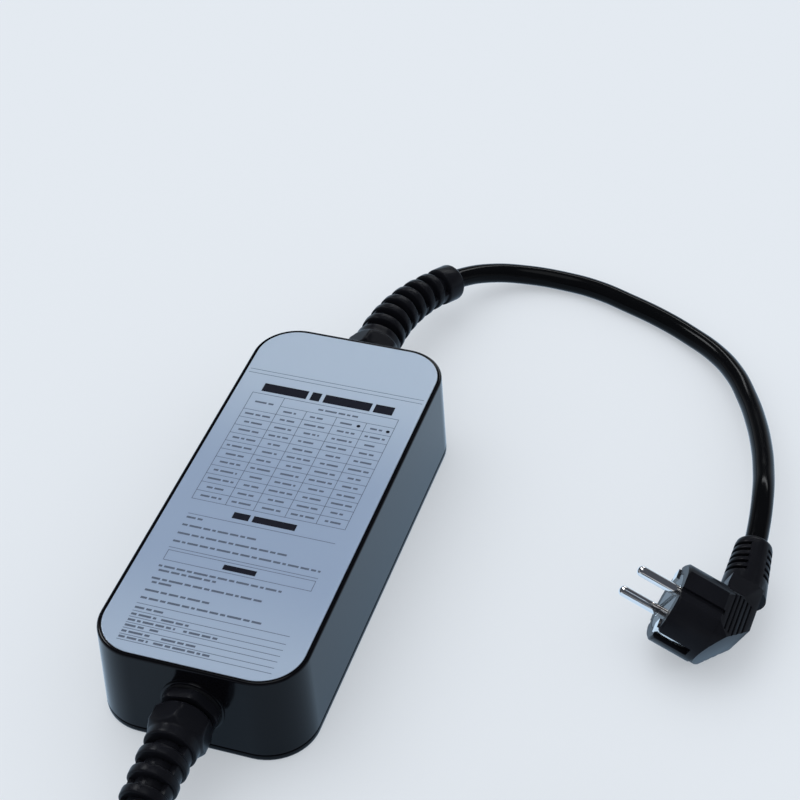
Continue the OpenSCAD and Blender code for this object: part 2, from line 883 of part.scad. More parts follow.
// The tied coil, its straps, and the stretch from the coil to the connector
module coil_place() {
    translate([coil_at[0], coil_at[1], coil_base])
        children();
}
module coil_outline(more) {
    round_rect(coil_section[0] + 2 * more, coil_section[1] + 2 * more, car_d / 2 + more);
}
module car_cable_coil() {
    color("#101113")
        coil_place()
            rotate_extrude($fn = 96)
                translate([coil_r, coil_section[1] / 2])
                    coil_outline(0);
}
module coil_straps() {
    color("#2c2f33")
        for (a = strap_angles)
            coil_place()
                rotate(a)
                    rotate_extrude(angle = strap_sweep, $fn = 96)
                        translate([coil_r, coil_section[1] / 2])
                            difference() {
                                coil_outline(fit + strap_t);
                                coil_outline(fit);
                            }
}
module car_cable_tail() {
    color("#0f1012")
        tube([
            [connector_at[0], coil_at[1] + coil_touch, coil_base + coil_section[1] - car_d / 2 - tail_drop],
            for (p = tail_points) [connector_at[0], coil_at[1] + p[0], p[1]],
            connector_at - [0, lead_straight, 0],
            connector_at
        ], car_d / 2, lead_sides);
}

// Mains plug, drawn with its pins along +Z and its cable along +Y
function turn_x(v, a) = [v[0], v[1] * cos(a) - v[2] * sin(a), v[1] * sin(a) + v[2] * cos(a)];
function turn_y(v, a) = [v[0] * cos(a) + v[2] * sin(a), v[1], -v[0] * sin(a) + v[2] * cos(a)];
function turn_z(v, a) = [v[0] * cos(a) - v[1] * sin(a), v[0] * sin(a) + v[1] * cos(a), v[2]];
function turn_all(v, a) = turn_z(turn_y(turn_x(v, a[0]), a[1]), a[2]);
plug_out = turn_all([0, cos(plug_lean), sin(plug_lean)], plug_turn);
module plug_place() {
    translate(plug_end)
        rotate(plug_turn)
            translate(-plug_relief_end)
                children();
}

// The slotted cable outlet of the plug, along its own Z
module plug_relief() {
    difference() {
        rotate_extrude()
            polygon([[0, 0], [plug_relief_r + plug_taper, 0],
                for (a = [0:30:90])
                    [plug_relief_r, plug_relief_l] - plug_relief_edge * [1 - cos(a), 1 - sin(a)],
                [0, plug_relief_l]]);
        for (i = [0:plug_slots - 1], side = [-1, 1])
            translate([0, side * plug_relief_r,
                plug_relief_l - plug_slot_end - plug_slot_w / 2 - i * plug_slot_pitch])
                cube([3 * plug_relief_r, 3 * plug_slot_depth, plug_slot_w], center = true);
    }
}

// The elbow behind the round front: a side outline, a back outline and a plan crossed with each other
module plug_elbow_block() {
    half = plug_d / 2;
    intersection() {
        rotate([90, 0, 90])
            linear_extrude(plug_d, center = true)
                polygon([[-half, 1 - plug_front], [-half, -plug_front], [elbow_flat, -elbow_back],
                    [elbow_l, -elbow_back], [elbow_l, -plug_front], [half - elbow_low, 1 - plug_front]]);
        rotate([90, 0, 0])
            linear_extrude(2 * plug_reach, center = true)
                polygon([[-plug_flat, 0], [-plug_flat, -plug_front], [-plug_rear_w, -elbow_back],
                    [plug_rear_w, -elbow_back], [plug_flat, -plug_front], [plug_flat, 0]]);
        translate([0, 0, -elbow_back])
            linear_extrude(elbow_back) {
                circle(d = plug_d - 2 * plug_step);
                polygon([[-plug_root_w, 0], [plug_root_w, 0], [plug_neck_w, elbow_l], [-plug_neck_w, elbow_l]]);
            }
    }
}

// Grooves along the two sloping sides of the elbow, for the fingers
module plug_grip_grooves() {
    rise = elbow_back - plug_front;
    tilt = atan((plug_flat - plug_rear_w) / rise);
    for (side = [-1, 1], i = [0:plug_grips - 1])
        translate([side * (plug_flat + plug_rear_w) / 2, plug_grip_y, -plug_front - rise / 2])
            rotate([0, side * tilt, 0])
                translate([0, 0, (i - (plug_grips - 1) / 2) * plug_grip_pitch])
                    cube([2 * plug_grip_depth, plug_grip_l, plug_grip_w], center = true);
}
module plug_body() {
    color("#141517")
        plug_place()
            difference() {
                union() {
                    rotate_extrude()
                        polygon([[0, -plug_front], [plug_d / 2, -plug_front], [plug_d / 2, -plug_chamfer],
                            [plug_d / 2 - plug_chamfer, 0], [0, 0]]);
                    plug_elbow_block();
                    translate([0, plug_elbow, -plug_back])
                        rotate([plug_lean - 90, 0, 0])
                            plug_relief();
                }
                plug_grip_grooves();
                translate([0, 0, -bridge_t])
                    cylinder(r = bridge_r + fit, h = bridge_t + past);
                for (side = [-1, 1]) {
                    translate([side * (plug_flat + plug_d / 2), 0, -plug_front / 2])
                        cube([plug_d, plug_d, plug_front + 2 * past], center = true);
                    translate([side * plug_flat, plug_groove_y, -plug_front / 2])
                        cube([2 * plug_groove[1], plug_groove[0], plug_front + 2 * past], center = true);
                    translate([0, side * plug_d / 2, past - clip_slot[2] / 2])
                        cube([clip_slot[0], 2 * clip_slot[1], clip_slot[2] + 2 * past], center = true);
                }
            }
}
module plug_bridge() {
    color("#202226")
        plug_place()
            difference() {
                translate([0, 0, -bridge_t])
                    cylinder(r = bridge_r, h = bridge_t);
                for (side = [-1, 1])
                    translate([side * pin_pitch / 2, 0, -bridge_t - past])
                        cylinder(d = pin_d + 2 * pin_root + 2 * fit, h = bridge_t + 2 * past);
            }
}
module plug_pins() {
    tip = pin_d / 2 - pin_root;
    color("#c9ccd0")
        plug_place()
            for (side = [-1, 1])
                translate([side * pin_pitch / 2, 0, 0])
                    rotate_extrude()
                        polygon([[0, -bridge_t], [pin_d / 2 + pin_root, -bridge_t], [pin_d / 2 + pin_root, 0],
                            [pin_d / 2, 0], [pin_d / 2, pin_l - tip],
                            for (a = [15:15:75]) [pin_d / 2 - tip + tip * cos(a), pin_l - tip + tip * sin(a)],
                            [pin_d / 2 - tip, pin_l], [0, pin_l]]);
}
module plug_earth_clips() {
    rim = plug_d / 2 - clip_slot[1];
    color("#d0d2d4")
        plug_place()
            for (side = [0, 180])
                rotate([90, 0, 90 + side])
                    linear_extrude(clip_w, center = true)
                        polygon([[rim - clip_foot, 0], [rim, 0], [rim + clip_rise, -clip_bow[0]],
                            [rim + clip_rise, -clip_bow[1]], [rim, -clip_l], [rim + clip_t, -clip_l],
                            [rim + clip_t + clip_rise, -clip_bow[1]],
                            [rim + clip_t + clip_rise, -clip_bow[0]],
                            [rim + clip_t, clip_t], [rim - clip_foot, clip_t]]);
}

// Car connector, drawn with its nose towards +Z from the tail of its grommet
module connector_place() {
    translate(connector_at)
        rotate([-90, 0, 0])
            children();
}
function handle_r(z) =
    let (along = min(1, (z - handle_z) / (handle_l - flare_l)),
        flare = max(0, (z - handle_end + flare_l) / flare_l))
    handle_tail_r + (handle_grip_r - handle_tail_r) * sin(90 * along)
    + (handle_front_r - handle_grip_r) * (1 - cos(180 * flare)) / 2;
handle_steps = [for (i = [0:16]) handle_z + i * handle_l / 16];

// One half of the handle, from the angle given
module handle_half(start) {
    rotate(start)
        rotate_extrude(angle = 180)
            polygon([
                for (z = handle_steps) [handle_r(z), z],
                [handle_front_r, front_z],
                [handle_front_r - handle_wall, front_z],
                for (i = [len(handle_steps) - 1:-1:0])
                    [handle_r(handle_steps[i]) - handle_wall, handle_steps[i]]
            ]);
}
module at_handle_screws() {
    for (z = handle_screws)
        translate([0, 0, z])
            rotate([0, 90, 0])
                children();
}

// The screw pillars of one half, on the side given
module handle_pillars(side) {
    for (z = handle_screws)
        translate([0, 0, z])
            rotate([0, 90 * side, 0])
                cylinder(r = handle_boss_r, h = handle_r(z) - handle_wall / 2);
}
module connector_shell_left() {
    color("#1a1c1f")
        connector_place()
            difference() {
                union() {
                    handle_half(90);
                    handle_pillars(-1);
                }
                at_handle_screws()
                    translate([0, 0, -handle_seat])
                        cylinder(r = handle_screw_r + fit, h = handle_seat + past);
            }
}
module connector_shell_right() {
    color("#1a1c1f")
        connector_place()
            difference() {
                union() {
                    handle_half(270);
                    handle_pillars(1);
                }
                at_handle_screws() {
                    translate([0, 0, -past])
                        cylinder(r = handle_screw_r + fit, h = handle_grip_r + 2 * past);
                    translate([0, 0, handle_seat])
                        cylinder(r = head_wide * handle_screw_r + slot_fit, h = handle_grip_r);
                }
            }
}
module connector_screws() {
    color("#8f9296")
        connector_place()
            at_handle_screws()
                translate([0, 0, handle_seat + handle_screw_r])
                    mirror([0, 0, 1])
                        pan_screw(2 * handle_screw_r, handle_screw_l);
}
module connector_grommet() {
    seat = handle_tail_r - handle_wall - fit;
    color("#191a1c")
        connector_place()
            difference() {
                union() {
                    cylinder(r1 = car_d / 2 + grommet_wall, r2 = seat - 1, h = handle_z);
                    translate([0, 0, handle_z - bury])
                        cylinder(r = seat, h = grommet_in + bury);
                    for (i = [0:grommet_ribs - 1])
                        translate([0, 0, grommet_rib_w + i * grommet_rib_pitch])
                            cylinder(r = grommet_rib_r + i * grommet_taper, h = grommet_rib_w);
                }
                translate([0, 0, -past])
                    cylinder(d = car_d + 2 * fit, h = grommet_l + 2 * past);
            }
}
module connector_cable() {
    color("#0f1012")
        connector_place()
            cylinder(d = car_d, h = grommet_l + cable_past);
}
module connector_nose() {
    root = handle_front_r - handle_wall - fit;
    color("#17191c")
        connector_place()
            difference() {
                union() {
                    translate([0, 0, front_z - nose_root])
                        cylinder(r = root, h = nose_root);
                    translate([0, 0, front_z - bury])
                        cylinder(r = nose_r, h = nose_l + bury);
                }
                translate([0, -nose_r, front_z + nose_l / 2 + past])
                    cube([2 * nose_r, 2 * nose_key, nose_l], center = true);
                for (p = concat(power_contacts, blank_contacts))
                    translate([p[0], -p[1], front_z + nose_l - contact_l])
                        cylinder(r = contact_r + fit, h = contact_l + past);
                for (p = pilot_contacts)
                    translate([p[0], -p[1], front_z + nose_l - contact_l])
                        cylinder(r = pilot_r + fit, h = contact_l + past);
            }
}
module connector_contacts() {
    color("#c8b27a")
        connector_place() {
            for (p = power_contacts)
                translate([p[0], -p[1], front_z + nose_l - contact_l])
                    ring(contact_r, contact_r - contact_bore, contact_l - contact_sunk);
            for (p = pilot_contacts)
                translate([p[0], -p[1], front_z + nose_l - contact_l])
                    ring(pilot_r, pilot_r - contact_bore, contact_l - contact_sunk);
        }
}
module connector_cap() {
    color("#1e2023")
        connector_place()
            difference() {
                translate([0, 0, front_z + fit])
                    cylinder(r = nose_r + 2 * fit + cap_t, h = nose_l + cap_t);
                translate([0, 0, front_z - past])
                    cylinder(r = nose_r + 2 * fit, h = nose_l + past + 2 * fit);
            }
}

housing();
base_cover();
base_seal();
cover_screws();
label_panel();
circuit_board();
board_screws();
power_relays();
supply_module();
storage_capacitors();
leakage_sensor();
control_chip();
status_lamps();
light_guide();
mains_terminals();
car_terminals();
mains_cores();
car_cores();
mains_gland_body();
mains_gland_washer();
mains_gland_locknut();
mains_gland_insert();
mains_strain_relief();
mains_cable_end();
mains_cable();
car_gland_body();
car_gland_washer();
car_gland_locknut();
car_gland_insert();
car_strain_relief();
car_cable_end();
car_cable();
car_cable_coil();
coil_straps();
car_cable_tail();
plug_body();
plug_bridge();
plug_pins();
plug_earth_clips();
connector_shell_left();
connector_shell_right();
connector_screws();
connector_grommet();
connector_cable();
connector_nose();
connector_contacts();
connector_cap();
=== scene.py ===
"""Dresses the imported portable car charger: control box, leads, mains plug and car connector."""

import math

import bmesh
import bpy
from bpy.props import FloatProperty, FloatVectorProperty, IntProperty, PointerProperty
from mathutils import Matrix, Vector


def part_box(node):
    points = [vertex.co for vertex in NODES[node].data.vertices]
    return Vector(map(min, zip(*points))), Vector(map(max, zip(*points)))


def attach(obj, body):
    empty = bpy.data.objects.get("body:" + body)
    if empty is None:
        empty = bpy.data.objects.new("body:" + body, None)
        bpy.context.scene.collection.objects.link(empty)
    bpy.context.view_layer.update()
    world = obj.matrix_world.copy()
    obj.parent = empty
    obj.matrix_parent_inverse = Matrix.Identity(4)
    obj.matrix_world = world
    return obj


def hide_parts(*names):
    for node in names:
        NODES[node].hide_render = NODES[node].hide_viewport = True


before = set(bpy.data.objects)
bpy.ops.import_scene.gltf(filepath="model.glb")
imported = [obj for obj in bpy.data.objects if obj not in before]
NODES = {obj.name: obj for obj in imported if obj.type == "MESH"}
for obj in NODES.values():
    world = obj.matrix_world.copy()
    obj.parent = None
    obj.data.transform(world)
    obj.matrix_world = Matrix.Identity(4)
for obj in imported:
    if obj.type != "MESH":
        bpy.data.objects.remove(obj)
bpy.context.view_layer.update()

bl_info = {
    "name": "Portable car charger",
    "version": (1, 0, 0),
    "blender": (4, 5, 0),
    "location": "3D View > Sidebar > Charger",
    "description": "Builds the visible pieces of a portable car charger round its packed solids",
    "category": "Object",
}

BODY = "root"
MM = 0.001
TAU = 2 * math.pi

# The stage: its floor in metres, the plain share that the camera and mirrors see of it, its light

FLOOR_REACH = 3.0
FLOOR_CELLS = 12
FLOOR_DROP = 0.0002
FLOOR_ROUGHNESS = 0.6
FLOOR_SEEN = 0.45
FLOOR_MIRRORED = 0.55
SKY_STRENGTH = 0.80
SUN_STRENGTH = 0.72
SUN_SPREAD = math.radians(60)
SUN_WAY = Vector((0.45, -0.35, -1.0))
SUN_PLACE = (-0.9, 0.7, 2.0)
SENSOR_WIDTH = 36.0
CLIP_NEAR, CLIP_FAR = 0.01, 50.0

# The room that only mirrors see: its colours, and the parts of a direction where each fades in

FLOOR_SHEEN = (0.64, 0.98, 1.36)
CEILING = (0.07, 0.08, 0.10)
CEILING_HEIGHT = (0.02, 0.36)
WINDOW = (9.0, 9.3, 9.6)
WINDOW_SILL = (0.47, 0.50)
WINDOW_HEAD = (0.58, 0.55)
WINDOW_DEPTH = (0.77, 0.82)
OVERHEAD = (2.2, 2.3, 2.4)
OVERHEAD_HEIGHT = (0.93, 0.96)
KEY = (14.0, 14.5, 15.0)
KEY_SIDE = Vector((-0.61, 0.33, 0.72))
KEY_EDGE = (0.988, 0.994)

BASE_LOW, BASE_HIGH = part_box("base_cover")
HOUSING_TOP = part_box("housing")[1].z


class ChargerBoxSizes(bpy.types.PropertyGroup):
    """Sizes of the control box"""

    width: FloatProperty(
        name="Width", description="Width of the box at its base", unit="LENGTH",
        default=BASE_HIGH.x - BASE_LOW.x, min=0.05, max=0.2)
    length: FloatProperty(
        name="Length", description="Length of the box at its base", unit="LENGTH",
        default=BASE_HIGH.y - BASE_LOW.y, min=0.1, max=0.4)
    height: FloatProperty(
        name="Height", description="Height of the box", unit="LENGTH",
        default=HOUSING_TOP, min=0.03, max=0.1)
    corner: FloatProperty(
        name="Corner radius", description="Radius of the upright corners at the base",
        unit="LENGTH", default=22 * MM, min=0.005, max=0.04)
    draft: FloatProperty(
        name="Draft", description="Lean of the walls", subtype="ANGLE",
        default=math.radians(1.8), min=0.0, max=0.1)
    wall: FloatProperty(
        name="Wall", description="Thickness of the walls", unit="LENGTH", default=3 * MM)
    edge: FloatProperty(
        name="Edge rounding", description="Rounding of the upper edge", unit="LENGTH",
        default=1.2 * MM)
    cover: FloatProperty(
        name="Cover thickness", description="Thickness of the base cover", unit="LENGTH",
        default=3 * MM)
    rim: FloatProperty(
        name="Rim", description="Width of the rim round the label panel", unit="LENGTH",
        default=1.8 * MM)
    panel: FloatProperty(
        name="Panel thickness", description="Thickness of the label panel", unit="LENGTH",
        default=1 * MM)


class ChargerLeadSizes(bpy.types.PropertyGroup):
    """Sizes of the two leads"""

    mains: FloatProperty(
        name="Mains lead", description="Diameter of the mains lead", unit="LENGTH",
        default=10 * MM)
    car: FloatProperty(
        name="Car lead", description="Diameter of the car lead", unit="LENGTH",
        default=12 * MM)
    sides: IntProperty(
        name="Roundness", description="Steps in a quarter of a lead's section", default=6,
        min=2, max=12)


class ChargerColours(bpy.types.PropertyGroup):
    """Colours of the charger's finishes"""

    shell: FloatVectorProperty(
        name="Shell", description="Box, gland pads and car connector", subtype="COLOR",
        default=(0.0024, 0.0024, 0.0035))
    soft: FloatVectorProperty(
        name="Soft mouldings", description="Glands, strain reliefs and plug", subtype="COLOR",
        default=(0.0060, 0.0065, 0.0090))
    sheath: FloatVectorProperty(
        name="Lead sheath", description="Outside of both leads", subtype="COLOR",
        default=(0.0030, 0.0033, 0.0040))
    film: FloatVectorProperty(
        name="Label film", description="Main field of the label panel", subtype="COLOR",
        default=(0.258, 0.340, 0.482))
    # Painted sheen: the film's paler colour towards its ends, as if lit from beyond the far end
    sheen_band: FloatVectorProperty(
        name="Label band", description="Paler field towards the ends of the label",
        subtype="COLOR", default=(0.372, 0.465, 0.590))
    print_ink: FloatVectorProperty(
        name="Dark print", description="Heading bars and dots on the label", subtype="COLOR",
        default=(0.008, 0.009, 0.016))
    print_grey: FloatVectorProperty(
        name="Grey print", description="Rules and line bars on the label", subtype="COLOR",
        default=(0.085, 0.112, 0.162))
    floor: FloatVectorProperty(
        name="Floor", description="Pale studio floor", subtype="COLOR",
        default=(0.775, 0.823, 0.879))


class ChargerView(bpy.types.PropertyGroup):
    """Where the camera stands"""

    place: FloatVectorProperty(
        name="Place", description="Where the camera stands", subtype="TRANSLATION",
        default=(0.26883, -0.58239, 0.65226))
    yaw: FloatProperty(
        name="Yaw", description="Turn of the camera round the upright", subtype="ANGLE",
        default=math.radians(-19.92))
    elevation: FloatProperty(
        name="Elevation", description="Height angle of the camera", subtype="ANGLE",
        default=math.radians(41.08))
    roll: FloatProperty(
        name="Roll", description="Tilt of the picture", subtype="ANGLE",
        default=math.radians(2.62))
    lens: FloatProperty(
        name="Lens", description="Focal length on a 36 mm sensor", unit="CAMERA",
        default=90.54)


# Node groups shared by the finishes

MIX_FIRST, MIX_SECOND, MIX_COLOUR = 6, 7, 2
NOISE_MIDDLE = 0.5
GRAIN_DETAIL = 3.0
BROAD_SHARE = 0.05
BROAD_DETAIL = 4.0
GRAIN_VARIATION = 0.08
MARKS_DETAIL = 6.0
MARKS_EDGE = (0.45, 0.75)
MARKS_SCALE = 45.0
MARKS_AMOUNT = 0.35
# Painted sheen on the label: where it fades in along the film, in metres, from, to and how much
LABEL_SHEEN_FADES = ((0.0, 0.085, 1.0), (-0.045, -0.105, 0.6))


def group_tree(name, inputs, outputs):
    """A new shader node group with named sockets, and its input and output nodes."""
    tree = bpy.data.node_groups.new(name, "ShaderNodeTree")
    for label, kind, value in inputs:
        socket = tree.interface.new_socket(name=label, in_out="INPUT", socket_type=kind)
        socket.default_value = value
    for label, kind in outputs:
        tree.interface.new_socket(name=label, in_out="OUTPUT", socket_type=kind)
    return tree, tree.nodes.new("NodeGroupInput"), tree.nodes.new("NodeGroupOutput")


def feed(tree, slot, value):
    """Links a socket to an input, or sets the input to a plain value."""
    if isinstance(value, bpy.types.NodeSocket):
        tree.links.new(value, slot)
    else:
        slot.default_value = value


def set_inputs(node, values):
    """Sets a node's inputs by name."""
    for name, value in values.items():
        node.inputs[name].default_value = value


def math_node(tree, operation, first, second):
    """A Math node whose inputs are sockets or numbers; returns its output."""
    node = tree.nodes.new("ShaderNodeMath")
    node.operation = operation
    feed(tree, node.inputs[0], first)
    feed(tree, node.inputs[1], second)
    return node.outputs[0]


def mix_node(tree, factor, first, second):
    """A Mix node for colours, which are sockets or RGBA values; returns its output."""
    mix = tree.nodes.new("ShaderNodeMix")
    mix.data_type = "RGBA"
    feed(tree, mix.inputs["Factor"], factor)
    feed(tree, mix.inputs[MIX_FIRST], first)
    feed(tree, mix.inputs[MIX_SECOND], second)
    return mix.outputs[MIX_COLOUR]


def fade_node(tree, value, low, high, most=1.0):
    """A smooth step, 0 where the value is at low and most where it is at high."""
    fade = tree.nodes.new("ShaderNodeMapRange")
    fade.interpolation_type = "SMOOTHSTEP"
    set_inputs(fade, {"From Min": low, "From Max": high, "To Max": most})
    tree.links.new(value, fade.inputs["Value"])
    return fade.outputs["Result"]


def noise_node(tree, scale, detail):
    """Noise in the object's own space; its scale comes from a socket."""
    noise = tree.nodes.new("ShaderNodeTexNoise")
    noise.inputs["Detail"].default_value = detail
    place = tree.nodes.new("ShaderNodeTexCoord").outputs["Object"]
    tree.links.new(place, noise.inputs["Vector"])
    tree.links.new(scale, noise.inputs["Scale"])
    return noise.outputs["Fac"]


def first_node(tree, kind):
    """The node of that kind that a new material or world starts with."""
    return next(n for n in tree.nodes if n.type == kind)


def place_group(tree, group, values):
    """Places a node group in a material with its own values."""
    node = tree.nodes.new("ShaderNodeGroup")
    node.node_tree = group
    set_inputs(node, values)
    return node


def moulded_grain():
    """Fine moulded grain: a height for bump and a roughness that wanders a little."""
    name = "moulded_grain"
    if name in bpy.data.node_groups:
        return bpy.data.node_groups[name]
    tree, given, made = group_tree(
        name,
        [("Scale", "NodeSocketFloat", 1500.0), ("Roughness", "NodeSocketFloat", 0.4),
         ("Variation", "NodeSocketFloat", 0.1)],
        [("Height", "NodeSocketFloat"), ("Roughness", "NodeSocketFloat")])
    fine = noise_node(tree, given.outputs["Scale"], GRAIN_DETAIL)
    broad_scale = math_node(tree, "MULTIPLY", given.outputs["Scale"], BROAD_SHARE)
    broad = noise_node(tree, broad_scale, BROAD_DETAIL)
    wander = math_node(tree, "MULTIPLY", math_node(tree, "SUBTRACT", broad, NOISE_MIDDLE),
                       given.outputs["Variation"])
    tree.links.new(fine, made.inputs["Height"])
    tree.links.new(math_node(tree, "ADD", given.outputs["Roughness"], wander),
                   made.inputs["Roughness"])
    return tree


def handling_marks():
    """Soft cloudy marks where hands and tables have touched the surface."""
    name = "handling_marks"
    if name in bpy.data.node_groups:
        return bpy.data.node_groups[name]
    tree, given, made = group_tree(
        name,
        [("Colour", "NodeSocketColor", (0.01, 0.01, 0.01, 1.0)),
         ("Marks", "NodeSocketColor", (0.03, 0.03, 0.03, 1.0)),
         ("Scale", "NodeSocketFloat", 40.0), ("Amount", "NodeSocketFloat", 0.3)],
        [("Colour", "NodeSocketColor")])
    clouds = noise_node(tree, given.outputs["Scale"], MARKS_DETAIL)
    patches = math_node(tree, "MULTIPLY", fade_node(tree, clouds, *MARKS_EDGE),
                        given.outputs["Amount"])
    shade = mix_node(tree, patches, given.outputs["Colour"], given.outputs["Marks"])
    tree.links.new(shade, made.inputs["Colour"])
    return tree


def label_fields():
    """Painted sheen on the label: its main colour, paler towards the far end, a little at the near
    one.
    """
    name = "label_fields"
    if name in bpy.data.node_groups:
        return bpy.data.node_groups[name]
    tree, given, made = group_tree(
        name,
        [("Main", "NodeSocketColor", (0.25, 0.32, 0.45, 1.0)),
         ("Band", "NodeSocketColor", (0.40, 0.49, 0.60, 1.0))],
        [("Colour", "NodeSocketColor")])
    place = tree.nodes.new("ShaderNodeSeparateXYZ")
    tree.links.new(tree.nodes.new("ShaderNodeTexCoord").outputs["Object"], place.inputs[0])
    shares = [fade_node(tree, place.outputs["Y"], *fade) for fade in LABEL_SHEEN_FADES]
    shade = mix_node(tree, math_node(tree, "MAXIMUM", *shares),
                     given.outputs["Main"], given.outputs["Band"])
    tree.links.new(shade, made.inputs["Colour"])
    return tree


# Finishes

def finish(name, colour, roughness, grain=1500.0, depth=0.05, step=0.05, marks=1.6,
           metallic=0.0, specular=0.5, fields=None):
    """A procedural finish: base colour with handling marks, grain in roughness and bump.

    The bump has a strength (depth) and a height (step, in millimetres). Marks is how bright the
    handling marks are beside the colour, and fields a group that varies the colour, such as the
    label's painted sheen."""
    if name in bpy.data.materials:
        return bpy.data.materials[name]
    material = bpy.data.materials.new(name)
    material.use_nodes = True
    tree = material.node_tree
    shader = first_node(tree, "BSDF_PRINCIPLED")
    set_inputs(shader, {"Metallic": metallic, "Specular IOR Level": specular})
    touched = place_group(tree, handling_marks(), {
        "Colour": (*colour, 1.0), "Marks": (*[min(1.0, c * marks) for c in colour], 1.0),
        "Scale": MARKS_SCALE, "Amount": MARKS_AMOUNT})
    # The field group paints sheen into the colour: on the label, paler towards its ends
    if fields:
        field = place_group(tree, fields, {
            "Main": (*colour, 1.0), "Band": (*colours().sheen_band, 1.0)})
        for slot in ("Colour", "Marks"):
            tree.links.new(field.outputs["Colour"], touched.inputs[slot])
    tree.links.new(touched.outputs["Colour"], shader.inputs["Base Color"])
    grained = place_group(tree, moulded_grain(), {
        "Scale": grain, "Roughness": roughness, "Variation": GRAIN_VARIATION})
    tree.links.new(grained.outputs["Roughness"], shader.inputs["Roughness"])
    bump = tree.nodes.new("ShaderNodeBump")
    set_inputs(bump, {"Strength": depth, "Distance": step * MM})
    tree.links.new(grained.outputs["Height"], bump.inputs["Height"])
    tree.links.new(bump.outputs["Normal"], shader.inputs["Normal"])
    return material


def colours():
    """The colours set in the sidebar."""
    return bpy.context.scene.charger_colours


def shell_finish():
    """Hard, smooth black moulding."""
    return finish("shell_plastic", colours().shell, 0.13, grain=2200.0, depth=0.1, step=0.02,
                  specular=0.12)


def soft_finish():
    """Softer, duller black moulding."""
    return finish("soft_moulding", colours().soft, 0.30, grain=1800.0, depth=0.2, step=0.03,
                  specular=0.06)


def sheath_finish():
    """Smooth black sheath of the leads."""
    return finish("smooth_sheath", colours().sheath, 0.12, grain=900.0, depth=0.06, step=0.03,
                  specular=0.05)


def film_finish():
    """Printed film of the label, in its two fields: the main colour and a paler painted sheen."""
    return finish("panel_film", colours().film, 0.30, grain=400.0, depth=0.08, step=0.02,
                  specular=0.4, fields=label_fields())


def seal_finish():
    """Black rubber of seals, washers and inserts."""
    return finish("seal_rubber", (0.0060, 0.0065, 0.0080), 0.6, depth=0.3, specular=0.1)


def steel_finish():
    """Plated steel of the screws."""
    return finish("zinc_steel", (0.52, 0.53, 0.55), 0.32, metallic=1.0, marks=0.8, grain=2500.0)


# Places and sizes of the glands and the strain reliefs, in millimetres as in the part's source

GLAND_X = {1: 0.0, -1: 1.6}
GLAND_Z = 25
GLAND_TURN = 12
THREAD_R = 10.0
BORE_R = THREAD_R + 0.15
BORE_SPAN = (-12, 6)
PAD_R = 14.0
PAD_OUT = 108.854
PAD_SECTION = ((BORE_R, -2.5), (PAD_R, -2.5), (PAD_R, -0.25), (PAD_R - 0.08, -0.08),
               (PAD_R - 0.25, 0), (BORE_R, 0))
WASHER_T = 1.2
GLAND_IN = -12.3
GLAND_EDGE = 0.9
GLAND_SLOPE = 0.55 * GLAND_EDGE
HEX_AF = 24
HEX_R = 13.856
HEX_OVER = 0.2
HEX_Z = 5.7
HEX_STEP = 0.05
HEX_INNER = HEX_AF / 2 - 1.5
HEX_CORNER = (-2.3, -0.8, 0.8, 2.3)
GLAND_ROUNDING = 0.5
STUB_R = 9.1
STUB_L = 9
STUB_WALL = 2.2
STUB_GAP = 0.15

NUT_TURN = 26
NUT_R = HEX_AF / math.sqrt(3)
NUT_ROUNDING = 0.3
NUT_Z = 7.3
NUT_INNER_END = -10.0
RELIEF_Z = 18.8
BEND_Z = 23.8
BEND_L = 58.7
SLOTS = 7
SLOT_W = 4.7
SLOT_EDGE = 0.9
SLOT_LIP = 0.05
SLOT_FLOOR = 0.5
SLOT_WALL = 0.9
RING_T = 4.3
PITCH = SLOT_W + RING_T
SPINE_EDGE = 27
SPINE_SOFT = 3
SLEEVE_R = 11.4
TIP_R = 9.0
COLLAR_R = 9.4
COLLAR_L = 11
LEAD_GAP = 0.3
RELIEF_STEP = 4
LEAST_STEP = 0.4
RELIEFS = {
    "mains": {"end": 1, "bend": 28, "turn": 26, "spine": 0, "lead_r": 5.0, "gland_bore": 5.25},
    "car": {"end": -1, "bend": 18, "turn": -90, "spine": 82, "lead_r": 6.0, "gland_bore": 6.25},
}

# Outlines of a relief in pairs: way along and radius for the nut, way along and what the radius
# gains for sleeve and collar, shares of its size for a slot's edge; and stations of the bore

NUT_FOOT = ((0.0, 10.2), (0.0, 11.0), (0.5, 12.0), (1.4, 13.0), (2.0, NUT_R))
NUT_DOME = ((-2.9, NUT_R), (-2.2, 13.2), (-1.2, 12.5), (-0.5, 11.9))
SLEEVE_START = ((0.0, 0.1), (0.8, 0.0), (2.5, 0.0))
COLLAR_END = ((-2.0, 0.0), (-1.2, -0.2), (-0.4, -0.8), (0.0, -1.7))
EDGE_CURVE = ((1.0, 0.0), (0.45, 0.12), (0.12, 0.45), (0.0, 1.0))
BORE_STATIONS = (BEND_L + COLLAR_L, BEND_L, BEND_L * 0.8, BEND_L * 0.6, BEND_L * 0.4,
                 BEND_L * 0.2, 0.0, NUT_INNER_END, NUT_Z - BEND_Z)

# Paths of the leads, in millimetres; turns and shifts of the coil in degrees

